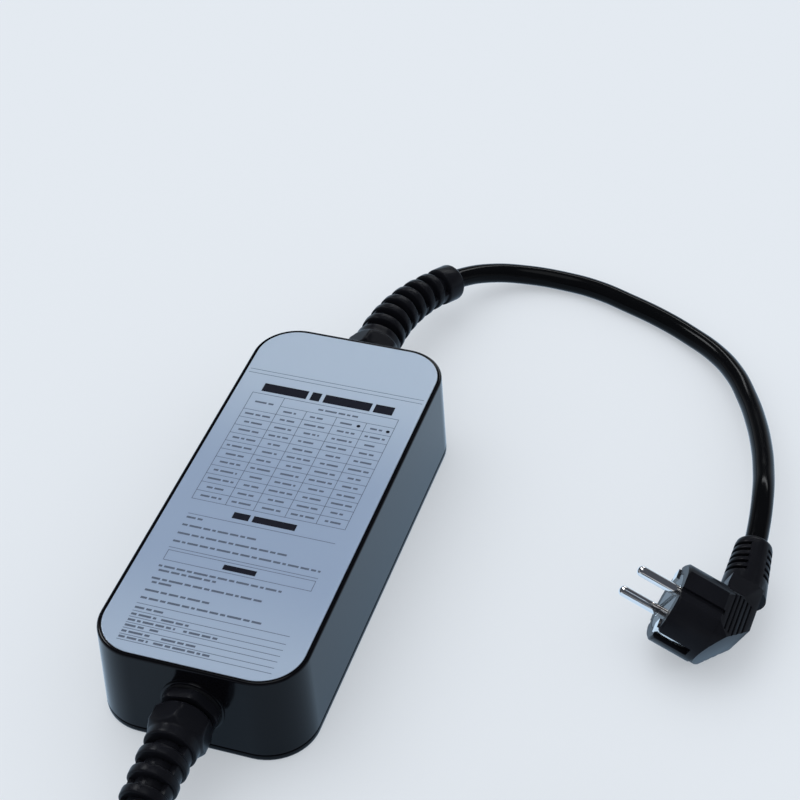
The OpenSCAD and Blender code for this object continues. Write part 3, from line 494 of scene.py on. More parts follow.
LEAD_STRAIGHT = 6
MAINS_STEPS, CAR_STEPS = 14, 5
MAINS_POINTS = [
    (32.3, 218.3, 10.6), (49.5, 226.7, 6.8), (70, 229, 5), (88, 226.3, 5), (106, 220, 5),
    (125, 212, 5), (142, 202, 5.5), (157, 190, 7), (169, 175, 9), (178.5, 157, 11),
    (186, 138, 14), (192, 118.5, 17), (196.5, 98.5, 20), (199.5, 79.5, 22.3)]
PLUG_END = Vector((201.4, 51.6, 19.3))
PLUG_TURN = (16, -64, -19)
PLUG_LEAN = 5
CAR_POINTS = [(1.4, -224, 7.4), (0.8, -246, 6.2), (0.2, -276, 6.1), (0, -306, 6.1), (0, -336, 6.1),
              (0, -360, 6.5), (0, -378.8, 7.15), (0, -402, 7.15)]
COIL_AT = Vector((85.2, -424))
COIL_START = 180
COIL_LAYERS = (7.15, 19.35, 31.55, 43.75)
COIL_RADII = (85.2, 73.0, 60.8)
COIL_SHIFTS = ((272, 0, 1), (632, 1, 2), (1199, 2, 1), (1559, 1, 0),
               (2153, 0, 1), (2513, 1, 2), (3082, 2, 1), (3442, 1, 0))
COIL_SHIFT_W = 86
COIL_CLIMBS = ((925, 67), (1879, 40), (2808, 65))
COIL_TURNS = 3780
COIL_STEP = 20
TAIL_POINTS = [(170.4, -401, 42.4), (170.4, -378.8, 39.75), (170.4, -367, 37.5),
               (170.4, -358, 34.5), (170.4, -347, 31.15), (170.4, -338, 31.15)]

# The box beyond its settings: metres for the walls, millimetres for foot, screw holes and screws

TOP_WALL = 2 * MM
CEILING_RING = 3 * MM
SEAM = 0.6 * MM
EDGE_EASE = 0.4 * MM
LIP = 0.2 * MM
EDGE_STEPS = 6
RECESS_RING = 4 * MM
COVER_RING = 2.4 * MM
COVER_GAP = 0.02 * MM
FOOT = ((0.0, 1.6), (0.0, 1.0), (0.1, 0.6), (0.35, 0.22), (0.7, 0.05), (1.2, 0.0),
        (2.2, 0.0), (2.6, 0.12), (2.85, 0.4), (2.95, 0.6))
SCREW_HOLE = ((3.15, -1), (3.15, 1.8), (1.8, 1.8), (1.8, 6))
COVER_SCREWS = [(-35.79, -97.29), (-35.79, 97.29), (35.79, -97.29), (35.79, 97.29),
                (-40.05, 0), (40.05, 0)]
BORE_STEPS, PAD_STEPS, SCREW_STEPS = 64, 72, 40

# The label's panel and ink: metres, and millimetres down and inwards for the panel's edge

PANEL_GAP = 0.15 * MM
PANEL_SINK = 0.05 * MM
PANEL_EDGE = ((0.15, 0.0), (0.05, 0.05), (0.0, 0.18), (0.0, 0.4))
PANEL_STEPS = 20
INK = 0.03 * MM
DOT_STEPS = 20

# Layout of the print, in millimetres: bars as x from, x to, y from, y to; dots as x, y, radius;
# lines as x from, x to, y

BAND_RULES = (74.0, 71.5)
BAND_SPAN = (-42.6, 42.6)
TABLE_X = (-35.4, -19.6, -6.6, 8.0, 22.4, 35.6)
TABLE_TOP, TABLE_MID, TABLE_HEAD = 58.2, 52.2, 46.5
TABLE_ROWS = 11
ROW_H = 5.61
HEAD_LINES = ((-2.0, 17.2, 55.0, 1), (-32.0, -23.0, 52.4, 2))
HEAD_WORD = (2.6, 8.8)
HEAD_Y = 49.2
CELL_INSET, CELL_STEP = 1.8, 0.6
RULE = 0.28
LINE_H = 1.1
DARK_BARS = [
    (-32.0, -10.2, 60.1, 65.7), (-8.4, -3.8, 60.1, 65.7), (-2.0, 20.8, 60.1, 65.7),
    (22.4, 31.6, 60.1, 65.7), (-14.0, -6.4, -22.0, -18.2), (-4.8, 15.0, -22.0, -18.2),
    (-6.4, 8.4, -51.8, -48.9)]
DOTS = [(19.4, HEAD_Y, 0.9), (33.4, HEAD_Y, 0.9)]
TEXT_LINES = [
    (-33, -25.6, -26.6), (-33, 1, -31.4), (-33, 17, -36.6), (-33, 34, -41.6), (-33, 22.4, -57.0),
    (-32, -6, -59.5), (-33, 16.4, -64.4), (-32, -23.2, -66.7), (-33, -3, -71.5), (-33, 22, -76.0),
    (-33, -20.4, -81.8), (-33, -21.8, -85.6), (-19.6, -6, -85.6), (-33, -12, -88.9),
    (-8.4, 6.6, -88.9), (-33, -24.6, -92.0), (-22, -17.2, -92.0), (-33, -20.6, -95.3),
    (-15.4, 0, -95.3), (-33, -20, -98.4), (-17.6, 7, -98.4)]
TEXT_RULES = (-24.3, -45.6, -79.4, -83.8, -87.2, -90.5, -93.6, -97.0, -100.0)
TEXT_SPAN = (-33.2, 34.4)
NOTICE_BOX = (-32.6, 34.0, -53.2, -47.3)
WORD_LENGTHS = (4.2, 2.4, 5.6, 3.2, 1.6, 4.8, 3.8, 2.2, 6.2, 2.8)
WORD_GAP = 0.9
WORD_LEAST = 0.8

# Small mesh tools

TO_METRES = Matrix.Scale(MM, 4)
SHARP_ANGLE = 30.0
RELIEF_SHARP = 38.0
WELD_REACH = 0.002 * MM
FLAT_ANGLE = math.radians(0.6)
BEVEL_ANGLE = math.radians(32)
BEVEL_STEPS = 3
CORNER_STEPS = 14


def ring_faces(bm, rings, wrap=False):
    """Joins rings of points into a skin, capped at both ends or, wrapped, closed on itself."""
    made = [[bm.verts.new(p) for p in ring] for ring in rings]
    pairs = list(zip(made, made[1:]))
    if wrap:
        pairs.append((made[-1], made[0]))
    for lower, upper in pairs:
        count = len(lower)
        for k in range(count):
            n = (k + 1) % count
            bm.faces.new((lower[k], lower[n], upper[n], upper[k]))
    if not wrap:
        bm.faces.new(list(reversed(made[0])))
        bm.faces.new(made[-1])


def skin_of(rings, wrap=False):
    """A new bmesh with one such skin."""
    bm = bmesh.new()
    ring_faces(bm, rings, wrap)
    return bm


def mesh_of(name, bm):
    """Turns a bmesh into a mesh and frees it."""
    mesh = bpy.data.meshes.new(name)
    bm.to_mesh(mesh)
    bm.free()
    return mesh


def linked(name, data):
    """A new object of the scene with that data."""
    obj = bpy.data.objects.new(name, data)
    bpy.context.scene.collection.objects.link(obj)
    return obj


def piece(name, bm, material, replaces=(), sharp=SHARP_ANGLE, place=None):
    """Turns a bmesh into a shown piece that rides on the body."""
    if place is not None:
        bm.transform(place)
    bmesh.ops.recalc_face_normals(bm, faces=bm.faces)
    mesh = mesh_of(name, bm)
    mesh.shade_smooth()
    mesh.set_sharp_from_angle(angle=math.radians(sharp))
    mesh.materials.append(material)
    obj = linked(name, mesh)
    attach(obj, BODY)
    if replaces:
        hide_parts(*replaces)
    return obj


def dress(material, *nodes):
    """Gives carried-over solids a finish."""
    for name in nodes:
        node = NODES[name]
        if not node.material_slots:
            node.data.materials.append(material)
        for slot in node.material_slots:
            slot.material = material


def soften(width, name):
    """Rounds the hard edges of a carried-over solid with modifiers; its mesh stays as packed.

    The width of the rounding is in millimetres."""
    stack = NODES[name].modifiers
    stack.new("weld", "WELD").merge_threshold = WELD_REACH
    flat = stack.new("flat", "DECIMATE")
    flat.decimate_type = "DISSOLVE"
    flat.angle_limit = FLAT_ANGLE
    bevel = stack.new("bevel", "BEVEL")
    bevel.width = width * MM
    bevel.segments = BEVEL_STEPS
    bevel.limit_method = "ANGLE"
    bevel.angle_limit = BEVEL_ANGLE
    bevel.harden_normals = True


def rounded_outline(width, length, radius, z, steps=CORNER_STEPS):
    """Points of a rectangle with round corners, anticlockwise."""
    points = []
    for cx, cy, start in ((1, 1, 0), (-1, 1, 90), (-1, -1, 180), (1, -1, 270)):
        for k in range(steps + 1):
            a = math.radians(start + 90 * k / steps)
            points.append(Vector((
                cx * (width / 2 - radius) + radius * math.cos(a),
                cy * (length / 2 - radius) + radius * math.sin(a), z)))
    return points


def turned(outline, angles, wrap=False, hexagon=None):
    """A turned skin of (radius, z) points; a hexagon at that turn cuts its flats into it."""
    rings = []
    for r, z in outline:
        ring = []
        for a in angles:
            radius = r
            if hexagon is not None and r >= HEX_INNER:
                radius = min(r, hex_radius(a, hexagon, GLAND_ROUNDING))
            ring.append(Vector((radius * math.cos(a), radius * math.sin(a), z)))
        rings.append(ring)
    return skin_of(rings, wrap)


def even_angles(steps):
    """That many even steps round a circle."""
    return [TAU * k / steps for k in range(steps)]


def append(bm, other):
    """Adds another bmesh to this one and frees it."""
    mesh = mesh_of("joined", other)
    bm.from_mesh(mesh)
    bpy.data.meshes.remove(mesh)


def cut(obj, tool, place):
    """Takes a closed tool shape, in millimetres, out of a piece."""
    tool.transform(TO_METRES @ place)
    bmesh.ops.recalc_face_normals(tool, faces=tool.faces)
    mesh = mesh_of("cutter", tool)
    cutter = linked("cutter", mesh)
    modifier = obj.modifiers.new("cut", "BOOLEAN")
    modifier.operation = "DIFFERENCE"
    modifier.solver = "EXACT"
    modifier.object = cutter
    ready = obj.evaluated_get(bpy.context.evaluated_depsgraph_get())
    cut_mesh = bpy.data.meshes.new_from_object(ready)
    obj.modifiers.remove(modifier)
    old, obj.data = obj.data, cut_mesh
    cut_mesh.name = obj.name
    bpy.data.meshes.remove(old)
    bpy.data.objects.remove(cutter)
    bpy.data.meshes.remove(mesh)


# Glands and strain reliefs

def hex_radius(angle, turn, rounding):
    """Distance to a hexagon's side at that angle, its corners eased by the rounding."""
    step = TAU / 6
    off = (angle - math.radians(turn) + step / 2) % step - step / 2
    flat = HEX_AF / 2 / math.cos(step / 2 - abs(off))
    return min(flat, NUT_R - rounding)


def relief_angles(spine, turn):
    """Angles round a relief: even steps, closer at the hexagon's corners and the spine's sides."""
    angles = [math.radians(k) for k in range(0, 360, RELIEF_STEP)]
    for k in range(6):
        corner = math.radians(turn + 60 * k)
        angles += [corner + math.radians(d) for d in HEX_CORNER]
    for half in (0, math.pi):
        for edge in (-SPINE_EDGE, SPINE_EDGE):
            for soft in (-SPINE_SOFT, 0, SPINE_SOFT):
                angles.append(spine + half + math.radians(edge + soft))
    angles = sorted(a % TAU for a in angles)
    kept = [angles[0]]
    for a in angles[1:]:
        if a - kept[-1] > math.radians(LEAST_STEP):
            kept.append(a)
    return kept


def spine_share(angle, spine):
    """1 on the two spines that join the rings, 0 in the open slot, soft between."""
    off = (angle - spine + math.pi / 2) % math.pi - math.pi / 2
    beyond = (math.degrees(abs(off)) - (SPINE_EDGE - SPINE_SOFT)) / (2 * SPINE_SOFT)
    return 1 - min(max(beyond, 0.0), 1.0)


def relief_profile():
    """Stations along a relief: arc length behind the bend's start, kind of ring, radius."""
    start, end, tip = NUT_Z - BEND_Z, RELIEF_Z - BEND_Z, BEND_L + COLLAR_L
    rows = [(start + s, "nut", r) for s, r in NUT_FOOT]
    rows += [(end + s, "nut", r) for s, r in NUT_DOME]
    rows += [(end + s, "round", SLEEVE_R + r) for s, r in SLEEVE_START]

    def radius(i):
        return SLEEVE_R + (TIP_R - SLEEVE_R) * i / SLOTS

    def shoulder(s, r, way):
        """A rounded edge that falls from radius r into a slot."""
        return [(s - way * out * SLOT_EDGE, "round", r - down * SLOT_EDGE)
                for out, down in EDGE_CURVE]

    for i in range(SLOTS):
        left, right = i * PITCH, i * PITCH + SLOT_W
        before, after = radius(i), radius(i + 1) if i < SLOTS - 1 else COLLAR_R
        low = min(before, after) - SLOT_EDGE
        rows += shoulder(left, before, 1)
        rows += [(s, "slot", low) for s in (left + SLOT_LIP, left + SLOT_FLOOR,
                                            right - SLOT_FLOOR, right - SLOT_LIP)]
        rows += reversed(shoulder(right, after, -1))
    return rows + [(tip + s, "round", COLLAR_R + r) for s, r in COLLAR_END]


def gland_place(end):
    """The gland's own frame: z runs out of the box."""
    return (Matrix.Translation((GLAND_X[end], end * PAD_OUT, GLAND_Z))
            @ Matrix.Rotation(math.radians(-90 * end), 4, "X"))


def relief_place(side):
    """The strain relief's own frame: the gland's, turned so that it bends towards x."""
    spec = RELIEFS[side]
    return gland_place(spec["end"]) @ Matrix.Rotation(math.radians(spec["turn"]), 4, "Z")


def relief_frame(side, s):
    """Centre and axes of a strain relief at arc length s behind the start of its bend."""
    bend = math.radians(RELIEFS[side]["bend"])
    radius = BEND_L / bend
    a = bend * min(max(s, 0.0), BEND_L) / BEND_L
    centre = Vector((radius * (1 - math.cos(a)), 0, BEND_Z + radius * math.sin(a)))
    along = Vector((math.sin(a), 0, math.cos(a)))
    centre += along * (min(s, 0.0) + max(s - BEND_L, 0.0))
    return centre, Vector((math.cos(a), 0, -math.sin(a))), Vector((0, 1, 0)), along


# Leads

def lead_start(side):
    """Where a lead leaves its collar, and the way it points there."""
    place = relief_place(side)
    centre, _, _, along = relief_frame(side, BEND_L + COLLAR_L)
    return place @ centre, (place.to_3x3() @ along).normalized()


def plug_out():
    """The way the mains lead leaves the plug."""
    x, y, z = (math.radians(a) for a in PLUG_TURN)
    turn = Matrix.Rotation(z, 4, "Z") @ Matrix.Rotation(y, 4, "Y") @ Matrix.Rotation(x, 4, "X")
    lean = math.radians(PLUG_LEAN)
    return turn.to_3x3() @ Vector((0, math.cos(lean), math.sin(lean)))


def ease(t):
    """A soft start and stop between 0 and 1."""
    t = min(max(t, 0.0), 1.0)
    return (1 - math.cos(math.pi * t)) / 2


def coil_point(degrees):
    """A point of the wound lead after it has turned through that many degrees."""
    radius = COIL_RADII[0]
    for start, before, after in COIL_SHIFTS:
        radius += (COIL_RADII[after] - COIL_RADII[before]) * ease((degrees - start) / COIL_SHIFT_W)
    z = COIL_LAYERS[0]
    for layer, (start, width) in enumerate(COIL_CLIMBS):
        z += (COIL_LAYERS[layer + 1] - COIL_LAYERS[layer]) * ease((degrees - start) / width)
    a = math.radians(COIL_START + degrees)
    return (COIL_AT.x + radius * math.cos(a), COIL_AT.y + radius * math.sin(a), z)


def lead_curve(name, points, diameter, steps):
    """A lead as one smooth open spline through the points, in millimetres.

    Where it starts and how long it runs are kept on it."""
    curve = bpy.data.curves.new(name, "CURVE")
    curve.dimensions = "3D"
    curve.bevel_depth = diameter / 2
    curve.bevel_resolution = bpy.context.scene.charger_leads.sides
    curve.resolution_u = steps
    curve.use_fill_caps = True
    curve.twist_mode = "MINIMUM"
    spline = curve.splines.new("BEZIER")
    spline.bezier_points.add(len(points) - 1)
    for bead, p in zip(spline.bezier_points, points):
        bead.co = Vector(p) * MM
        bead.handle_left_type = bead.handle_right_type = "AUTO"
    curve.materials.append(sheath_finish())
    obj = linked(name, curve)
    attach(obj, BODY)
    obj["start"] = [c * MM for c in points[0]]
    obj["run"] = run_length(points)
    return obj


def run_length(points):
    """Length along the points, in metres."""
    return sum((Vector(b) - Vector(a)).length for a, b in zip(points, points[1:])) * MM


# Print of the label

def words(x0, x1, y, first):
    """A line of print as word-long bars."""
    bars, x, k = [], x0, first
    while x < x1 - WORD_LEAST:
        end = min(x + WORD_LENGTHS[k % len(WORD_LENGTHS)], x1)
        bars.append((x, end, y - LINE_H / 2, y + LINE_H / 2))
        x, k = end + WORD_GAP, k + 1
    return bars


def across(x0, x1, y):
    """A rule across the label."""
    return (x0, x1, y - RULE / 2, y + RULE / 2)


def upright(x, y0, y1):
    """A rule along the label."""
    return (x - RULE / 2, x + RULE / 2, y0, y1)


def frame_bars(x0, x1, y0, y1):
    """Four rules round a field."""
    half = RULE / 2
    return [across(x0 - half, x1 + half, y1), across(x0 - half, x1 + half, y0),
            upright(x0, y0 + half, y1 - half), upright(x1, y0 + half, y1 - half)]


def grey_bars():
    """Rules, table grid and text lines of the label."""
    half = RULE / 2
    left, right = TABLE_X[0], TABLE_X[-1]
    bottom = TABLE_HEAD - TABLE_ROWS * ROW_H
    bars = [across(*BAND_SPAN, y) for y in BAND_RULES]
    bars += frame_bars(left, right, bottom, TABLE_TOP)
    bars.append(across(TABLE_X[1], right - half, TABLE_MID))
    bars += [across(left + half, right - half, TABLE_HEAD - k * ROW_H) for k in range(TABLE_ROWS)]
    for k, x in enumerate(TABLE_X[1:-1]):
        bars.append(upright(x, bottom + half, (TABLE_MID if k else TABLE_TOP) - half))
    for line in HEAD_LINES:
        bars += words(*line)
    for k, x in enumerate(TABLE_X[1:-1]):
        bars += words(x + HEAD_WORD[0], x + HEAD_WORD[1], HEAD_Y, k)
    for row in range(TABLE_ROWS):
        y = TABLE_HEAD - (row + 0.5) * ROW_H
        for column, (x0, x1) in enumerate(zip(TABLE_X, TABLE_X[1:])):
            inset = CELL_INSET + (row * 3 + column * 2) % 4 * CELL_STEP
            bars += words(x0 + inset, x1 - inset, y, row + column)
    for k, line in enumerate(TEXT_LINES):
        bars += words(*line, k)
    bars += [across(*TEXT_SPAN, y) for y in TEXT_RULES]
    bars += frame_bars(*NOTICE_BOX)
    return bars


# Operators, one for each piece or group of like pieces

class CHARGER_OT_stage(bpy.types.Operator):
    """Pale floor, soft light and the camera"""
    bl_idname = "charger.stage"
    bl_label = "Stage"

    def execute(self, context):
        scene = context.scene
        scene.view_settings.view_transform = "Standard"
        colour = scene.charger_colours.floor
        self.floor(colour)
        self.world(scene, colour)
        self.lamp()
        self.camera(scene)
        return {"FINISHED"}

    def over(self, tree, share, below, above):
        """Lays one shader over another by that share; returns the mix's output."""
        mix = tree.nodes.new("ShaderNodeMixShader")
        tree.links.new(share, mix.inputs[0])
        tree.links.new(below, mix.inputs[1])
        tree.links.new(above, mix.inputs[2])
        return mix.outputs[0]

    def floor(self, colour):
        """A wide floor just under the object, partly plain to the camera and to mirrors."""
        bm = bmesh.new()
        bmesh.ops.create_grid(bm, x_segments=FLOOR_CELLS, y_segments=FLOOR_CELLS, size=FLOOR_REACH)
        mesh = mesh_of("studio_floor", bm)
        material = bpy.data.materials.new("studio_floor")
        material.use_nodes = True
        tree = material.node_tree
        shader = first_node(tree, "BSDF_PRINCIPLED")
        set_inputs(shader, {"Base Color": (*colour, 1.0), "Roughness": FLOOR_ROUGHNESS,
                            "Specular IOR Level": 0.0})
        out = first_node(tree, "OUTPUT_MATERIAL")
        path = tree.nodes.new("ShaderNodeLightPath")
        surface = shader.outputs[0]
        for ray, share, tint in (("Is Camera Ray", FLOOR_SEEN, colour),
                                 ("Is Glossy Ray", FLOOR_MIRRORED, FLOOR_SHEEN)):
            plain = tree.nodes.new("ShaderNodeEmission")
            plain.inputs["Color"].default_value = (*tint, 1.0)
            seen = math_node(tree, "MULTIPLY", path.outputs[ray], share)
            surface = self.over(tree, seen, surface, plain.outputs[0])
        tree.links.new(surface, out.inputs["Surface"])
        mesh.materials.append(material)
        floor = linked("studio_floor", mesh)
        floor.location.z = -FLOOR_DROP

    def world(self, scene, colour):
        """White light all round; the camera sees the floor's colour, mirrors see the room."""
        world = bpy.data.worlds.new("studio_light")
        world.use_nodes = True
        scene.world = world
        tree = world.node_tree
        light, out = first_node(tree, "BACKGROUND"), first_node(tree, "OUTPUT_WORLD")
        set_inputs(light, {"Color": (1.0, 1.0, 1.0, 1.0), "Strength": SKY_STRENGTH})
        path = tree.nodes.new("ShaderNodeLightPath")
        mirrored = math_node(tree, "MAXIMUM", path.outputs["Is Glossy Ray"],
                             path.outputs["Is Transmission Ray"])
        surface = light.outputs[0]
        for rays, seen in ((path.outputs["Is Camera Ray"], (*colour, 1.0)),
                           (mirrored, self.room(tree, colour))):
            back = tree.nodes.new("ShaderNodeBackground")
            feed(tree, back.inputs["Color"], seen)
            surface = self.over(tree, rays, surface, back.outputs[0])
        tree.links.new(surface, out.inputs["Surface"])

    def room(self, tree, colour):
        """What mirrors see: pale low down, dark above, with a window and two soft lamps."""
        around = tree.nodes.new("ShaderNodeTexCoord").outputs["Generated"]
        parts = tree.nodes.new("ShaderNodeSeparateXYZ")
        tree.links.new(around, parts.inputs[0])
        height, depth = parts.outputs["Z"], parts.outputs["Y"]
        toward = tree.nodes.new("ShaderNodeVectorMath")
        toward.operation = "DOT_PRODUCT"
        toward.inputs[1].default_value = KEY_SIDE.normalized()
        tree.links.new(around, toward.inputs[0])
        opening = math_node(tree, "MULTIPLY", fade_node(tree, height, *WINDOW_SILL),
                            fade_node(tree, height, *WINDOW_HEAD))
        opening = math_node(tree, "MULTIPLY", opening, fade_node(tree, depth, *WINDOW_DEPTH))
        seen = (*colour, 1.0)
        for share, shade in ((fade_node(tree, height, *CEILING_HEIGHT), CEILING),
                             (opening, WINDOW),
                             (fade_node(tree, height, *OVERHEAD_HEIGHT), OVERHEAD),
                             (fade_node(tree, toward.outputs["Value"], *KEY_EDGE), KEY)):
            seen = mix_node(tree, share, seen, (*shade, 1.0))
        return seen

    def lamp(self):
        """One wide, soft light from the window's side."""
        key = bpy.data.lights.new("window_light", "SUN")
        key.energy = SUN_STRENGTH
        key.angle = SUN_SPREAD
        lamp = linked("window_light", key)
        lamp.rotation_euler = SUN_WAY.to_track_quat("-Z", "Y").to_euler()
        lamp.location = SUN_PLACE
        lamp.visible_glossy = False

    def camera(self, scene):
        """The camera at the place and with the lens of the settings."""
        view = scene.charger_view
        data = bpy.data.cameras.new("photo_view")
        data.sensor_width = SENSOR_WIDTH
        data.lens = view.lens
        data.clip_start, data.clip_end = CLIP_NEAR, CLIP_FAR
        back = Vector((0, -math.cos(view.elevation), math.sin(view.elevation)))
        right = Vector((1, 0, 0))
        look = Matrix((right, back.cross(right), back))
        rows = (Matrix.Rotation(view.roll, 3, "Z") @ look @ Matrix.Rotation(view.yaw, 3, "Z"))
        camera = linked("photo_view", data)
        camera.matrix_world = Matrix.Translation(view.place) @ rows.transposed().to_4x4()
        scene.camera = camera


class CHARGER_OT_mains_lead(bpy.types.Operator):
    """The short lead between the box and the mains plug"""
    bl_idname = "charger.mains_lead"
    bl_label = "Mains lead"

    def execute(self, context):
        start, out = lead_start("mains")
        points = [start, start + LEAD_STRAIGHT * out, *MAINS_POINTS,
                  PLUG_END + LEAD_STRAIGHT * plug_out(), PLUG_END]
        lead = lead_curve("mains_lead", points, context.scene.charger_leads.mains, MAINS_STEPS)
        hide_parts("mains_cable")
        return {"FINISHED"}


class CHARGER_OT_car_lead(bpy.types.Operator):
    """The long lead to the car: out of the box, round the tied coil and into the connector"""
    bl_idname = "charger.car_lead"
    bl_label = "Car lead"

    def execute(self, context):
        start, out = lead_start("car")
        turns = [coil_point(t) for t in range(0, COIL_TURNS + 1, COIL_STEP)]
        points = [start, start + LEAD_STRAIGHT * out, *CAR_POINTS, *turns, *TAIL_POINTS]
        lead = lead_curve("car_lead", points, context.scene.charger_leads.car, CAR_STEPS)
        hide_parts("car_cable", "car_cable_coil", "car_cable_tail")
        return {"FINISHED"}


class CHARGER_OT_control_box(bpy.types.Operator):
    """The drafted housing with its rounded edge and label recess, and the base cover"""
    bl_idname = "charger.control_box"
    bl_label = "Control box"

    def execute(self, context):
        box = context.scene.charger_box

        def ring(z, inset):
            lean = z * math.tan(box.draft) + inset
            return rounded_outline(box.width - 2 * lean, box.length - 2 * lean,
                                   box.corner - lean, z)

        self.housing(box, ring)
        self.pads()
        self.cover(box, ring)
        return {"FINISHED"}

    def housing(self, box, ring):
        """The hollow moulding, from its ceiling down the inside, up the outside to the recess."""
        top, cover, rim = box.height, box.cover, box.rim
        ceiling, shoulder, recess = top - box.panel - TOP_WALL, top - box.edge, top - box.panel
        rings = [ring(ceiling, box.wall + CEILING_RING), ring(ceiling, box.wall),
                 ring(cover, box.wall), ring(cover, SEAM), ring(cover + SEAM, 0.0),
                 ring(cover + SEAM + EDGE_EASE, 0.0), ring(shoulder - EDGE_EASE, 0.0)]
        for k in range(EDGE_STEPS + 1):
            a = math.pi / 2 * k / EDGE_STEPS
            rings.append(ring(shoulder + box.edge * math.sin(a), box.edge * (1 - math.cos(a))))
        rings += [ring(top, rim - 2 * LIP), ring(top, rim - LIP),
                  ring(top - LIP / 3, rim - LIP / 3), ring(top - LIP, rim),
                  ring(recess, rim), ring(recess, rim + RECESS_RING)]
        shell = piece("control_box_housing", skin_of(rings), shell_finish(),
                      ("housing",))
        bore = [(BORE_R, z) for z in BORE_SPAN]
        for end in (-1, 1):
            cut(shell, turned(bore, even_angles(BORE_STEPS)), gland_place(end))

    def pads(self):
        """The round pad under each gland."""
        pads = bmesh.new()
        for end in (-1, 1):
            skin = turned(PAD_SECTION, even_angles(PAD_STEPS), wrap=True)
            skin.transform(gland_place(end))
            append(pads, skin)
        piece("gland_pads", pads, shell_finish(), place=TO_METRES)

    def cover(self, box, ring):
        """The base cover with its rounded foot and a stepped hole for each screw."""
        rings = [ring(box.cover - COVER_GAP, COVER_RING)]
        rings += [ring(z * MM, inset * MM) for z, inset in reversed(FOOT)]
        rings.append(ring(0.0, COVER_RING))
        under = piece("control_box_cover", skin_of(rings), shell_finish(),
                      ("base_cover",))
        for x, y in COVER_SCREWS:
            cut(under, turned(SCREW_HOLE, even_angles(SCREW_STEPS)),
                Matrix.Translation((x, y, 0)))


class CHARGER_OT_label(bpy.types.Operator):
    """The printed panel in the recess of the box"""
    bl_idname = "charger.label"
    bl_label = "Label panel"

    def execute(self, context):
        box = context.scene.charger_box
        lean = box.height * math.tan(box.draft) + box.rim + PANEL_GAP
        low, high = box.height - box.panel, box.height - PANEL_SINK

        def ring(z, inset):
            return rounded_outline(box.width - 2 * (lean + inset), box.length - 2 * (lean + inset),
                                   box.corner - lean - inset, z, PANEL_STEPS)

        rings = [ring(low, 0.0)]
        rings += [ring(high - down * MM, inset * MM) for down, inset in PANEL_EDGE]
        piece("printed_panel", skin_of(rings), film_finish(), ("label_panel",))
        self.marks("print_dark", DARK_BARS, high, finish(
            "dark_print", colours().print_ink, 0.45, marks=1.3, specular=0.05), DOTS)
        self.marks("print_grey", grey_bars(), high, finish(
            "grey_print", colours().print_grey, 0.40, marks=1.15, specular=0.2))
        return {"FINISHED"}

    def marks(self, name, bars, z, material, dots=()):
        """Thin flat bars and dots of ink on the panel."""
        outlines = [[(x0, y0), (x1, y0), (x1, y1), (x0, y1)] for x0, x1, y0, y1 in bars]
        outlines += [[(x + radius * math.cos(a), y + radius * math.sin(a))
                      for a in even_angles(DOT_STEPS)] for x, y, radius in dots]
        bm = bmesh.new()
        for outline in outlines:
            ring_faces(bm, [[Vector((x * MM, y * MM, level)) for x, y in outline]
                            for level in (z - INK, z + INK)])
        piece(name, bm, material)


class CHARGER_OT_glands(bpy.types.Operator):
    """The hexagonal gland in each end wall"""
    bl_idname = "charger.glands"
    bl_label = "Glands"

    def execute(self, context):
        for side, spec in RELIEFS.items():
            bore, inner, tip = spec["gland_bore"], STUB_R - STUB_WALL, HEX_Z + STUB_L
            outline = [(bore, GLAND_IN), (THREAD_R, GLAND_IN), (THREAD_R, WASHER_T - HEX_STEP),
                       (HEX_R - GLAND_EDGE, WASHER_T), (HEX_R + HEX_OVER, WASHER_T + GLAND_SLOPE),
                       (HEX_R + HEX_OVER, HEX_Z - GLAND_SLOPE), (HEX_R - GLAND_EDGE, HEX_Z),
                       (STUB_R, HEX_Z + HEX_STEP), (STUB_R, tip), (inner, tip), (inner, HEX_Z),
                       (bore, HEX_Z)]
            bm = turned(outline, relief_angles(0.0, GLAND_TURN), wrap=True, hexagon=GLAND_TURN)
            piece(side + "_gland", bm, soft_finish(), (side + "_gland_body",),
                  place=TO_METRES @ gland_place(spec["end"]))
        return {"FINISHED"}


class CHARGER_OT_strain_reliefs(bpy.types.Operator):
    """Dome nut, sleeve, slotted rings and collar of both strain reliefs"""
    bl_idname = "charger.strain_reliefs"
    bl_label = "Strain reliefs"

    def execute(self, context):
        for side in RELIEFS:
            bm = skin_of(self.rings(side), wrap=True)
            piece(side + "_relief", bm, soft_finish(), (side + "_strain_relief",),
                  place=TO_METRES @ relief_place(side), sharp=RELIEF_SHARP)
        return {"FINISHED"}

    def rings(self, side):
        """Rings of the outside from the nut to the collar, then back through the bore."""
        spec = RELIEFS[side]
        lead_r = spec["lead_r"]
        spine = math.radians(-spec["spine"])
        nut_turn = NUT_TURN - spec["turn"]
        angles = relief_angles(spine, nut_turn)

        def ring(s, radius_at):
            centre, x_axis, y_axis, _ = relief_frame(side, s)
            return [centre + radius_at(a) * (math.cos(a) * x_axis + math.sin(a) * y_axis)
                    for a in angles]

        def outside(kind, r):
            if kind == "nut":
                return lambda a: min(r, hex_radius(a, nut_turn, NUT_ROUNDING))
            if kind == "slot":
                return lambda a: (lead_r + SLOT_WALL
                                  + (r - lead_r - SLOT_WALL) * spine_share(a, spine))
            return lambda a: r

        def inside(s):
            return lambda a: lead_r + LEAD_GAP if s > NUT_INNER_END else STUB_R + STUB_GAP

        rows = [ring(s, outside(kind, r)) for s, kind, r in relief_profile()]
        return rows + [ring(s, inside(s)) for s in BORE_STATIONS]


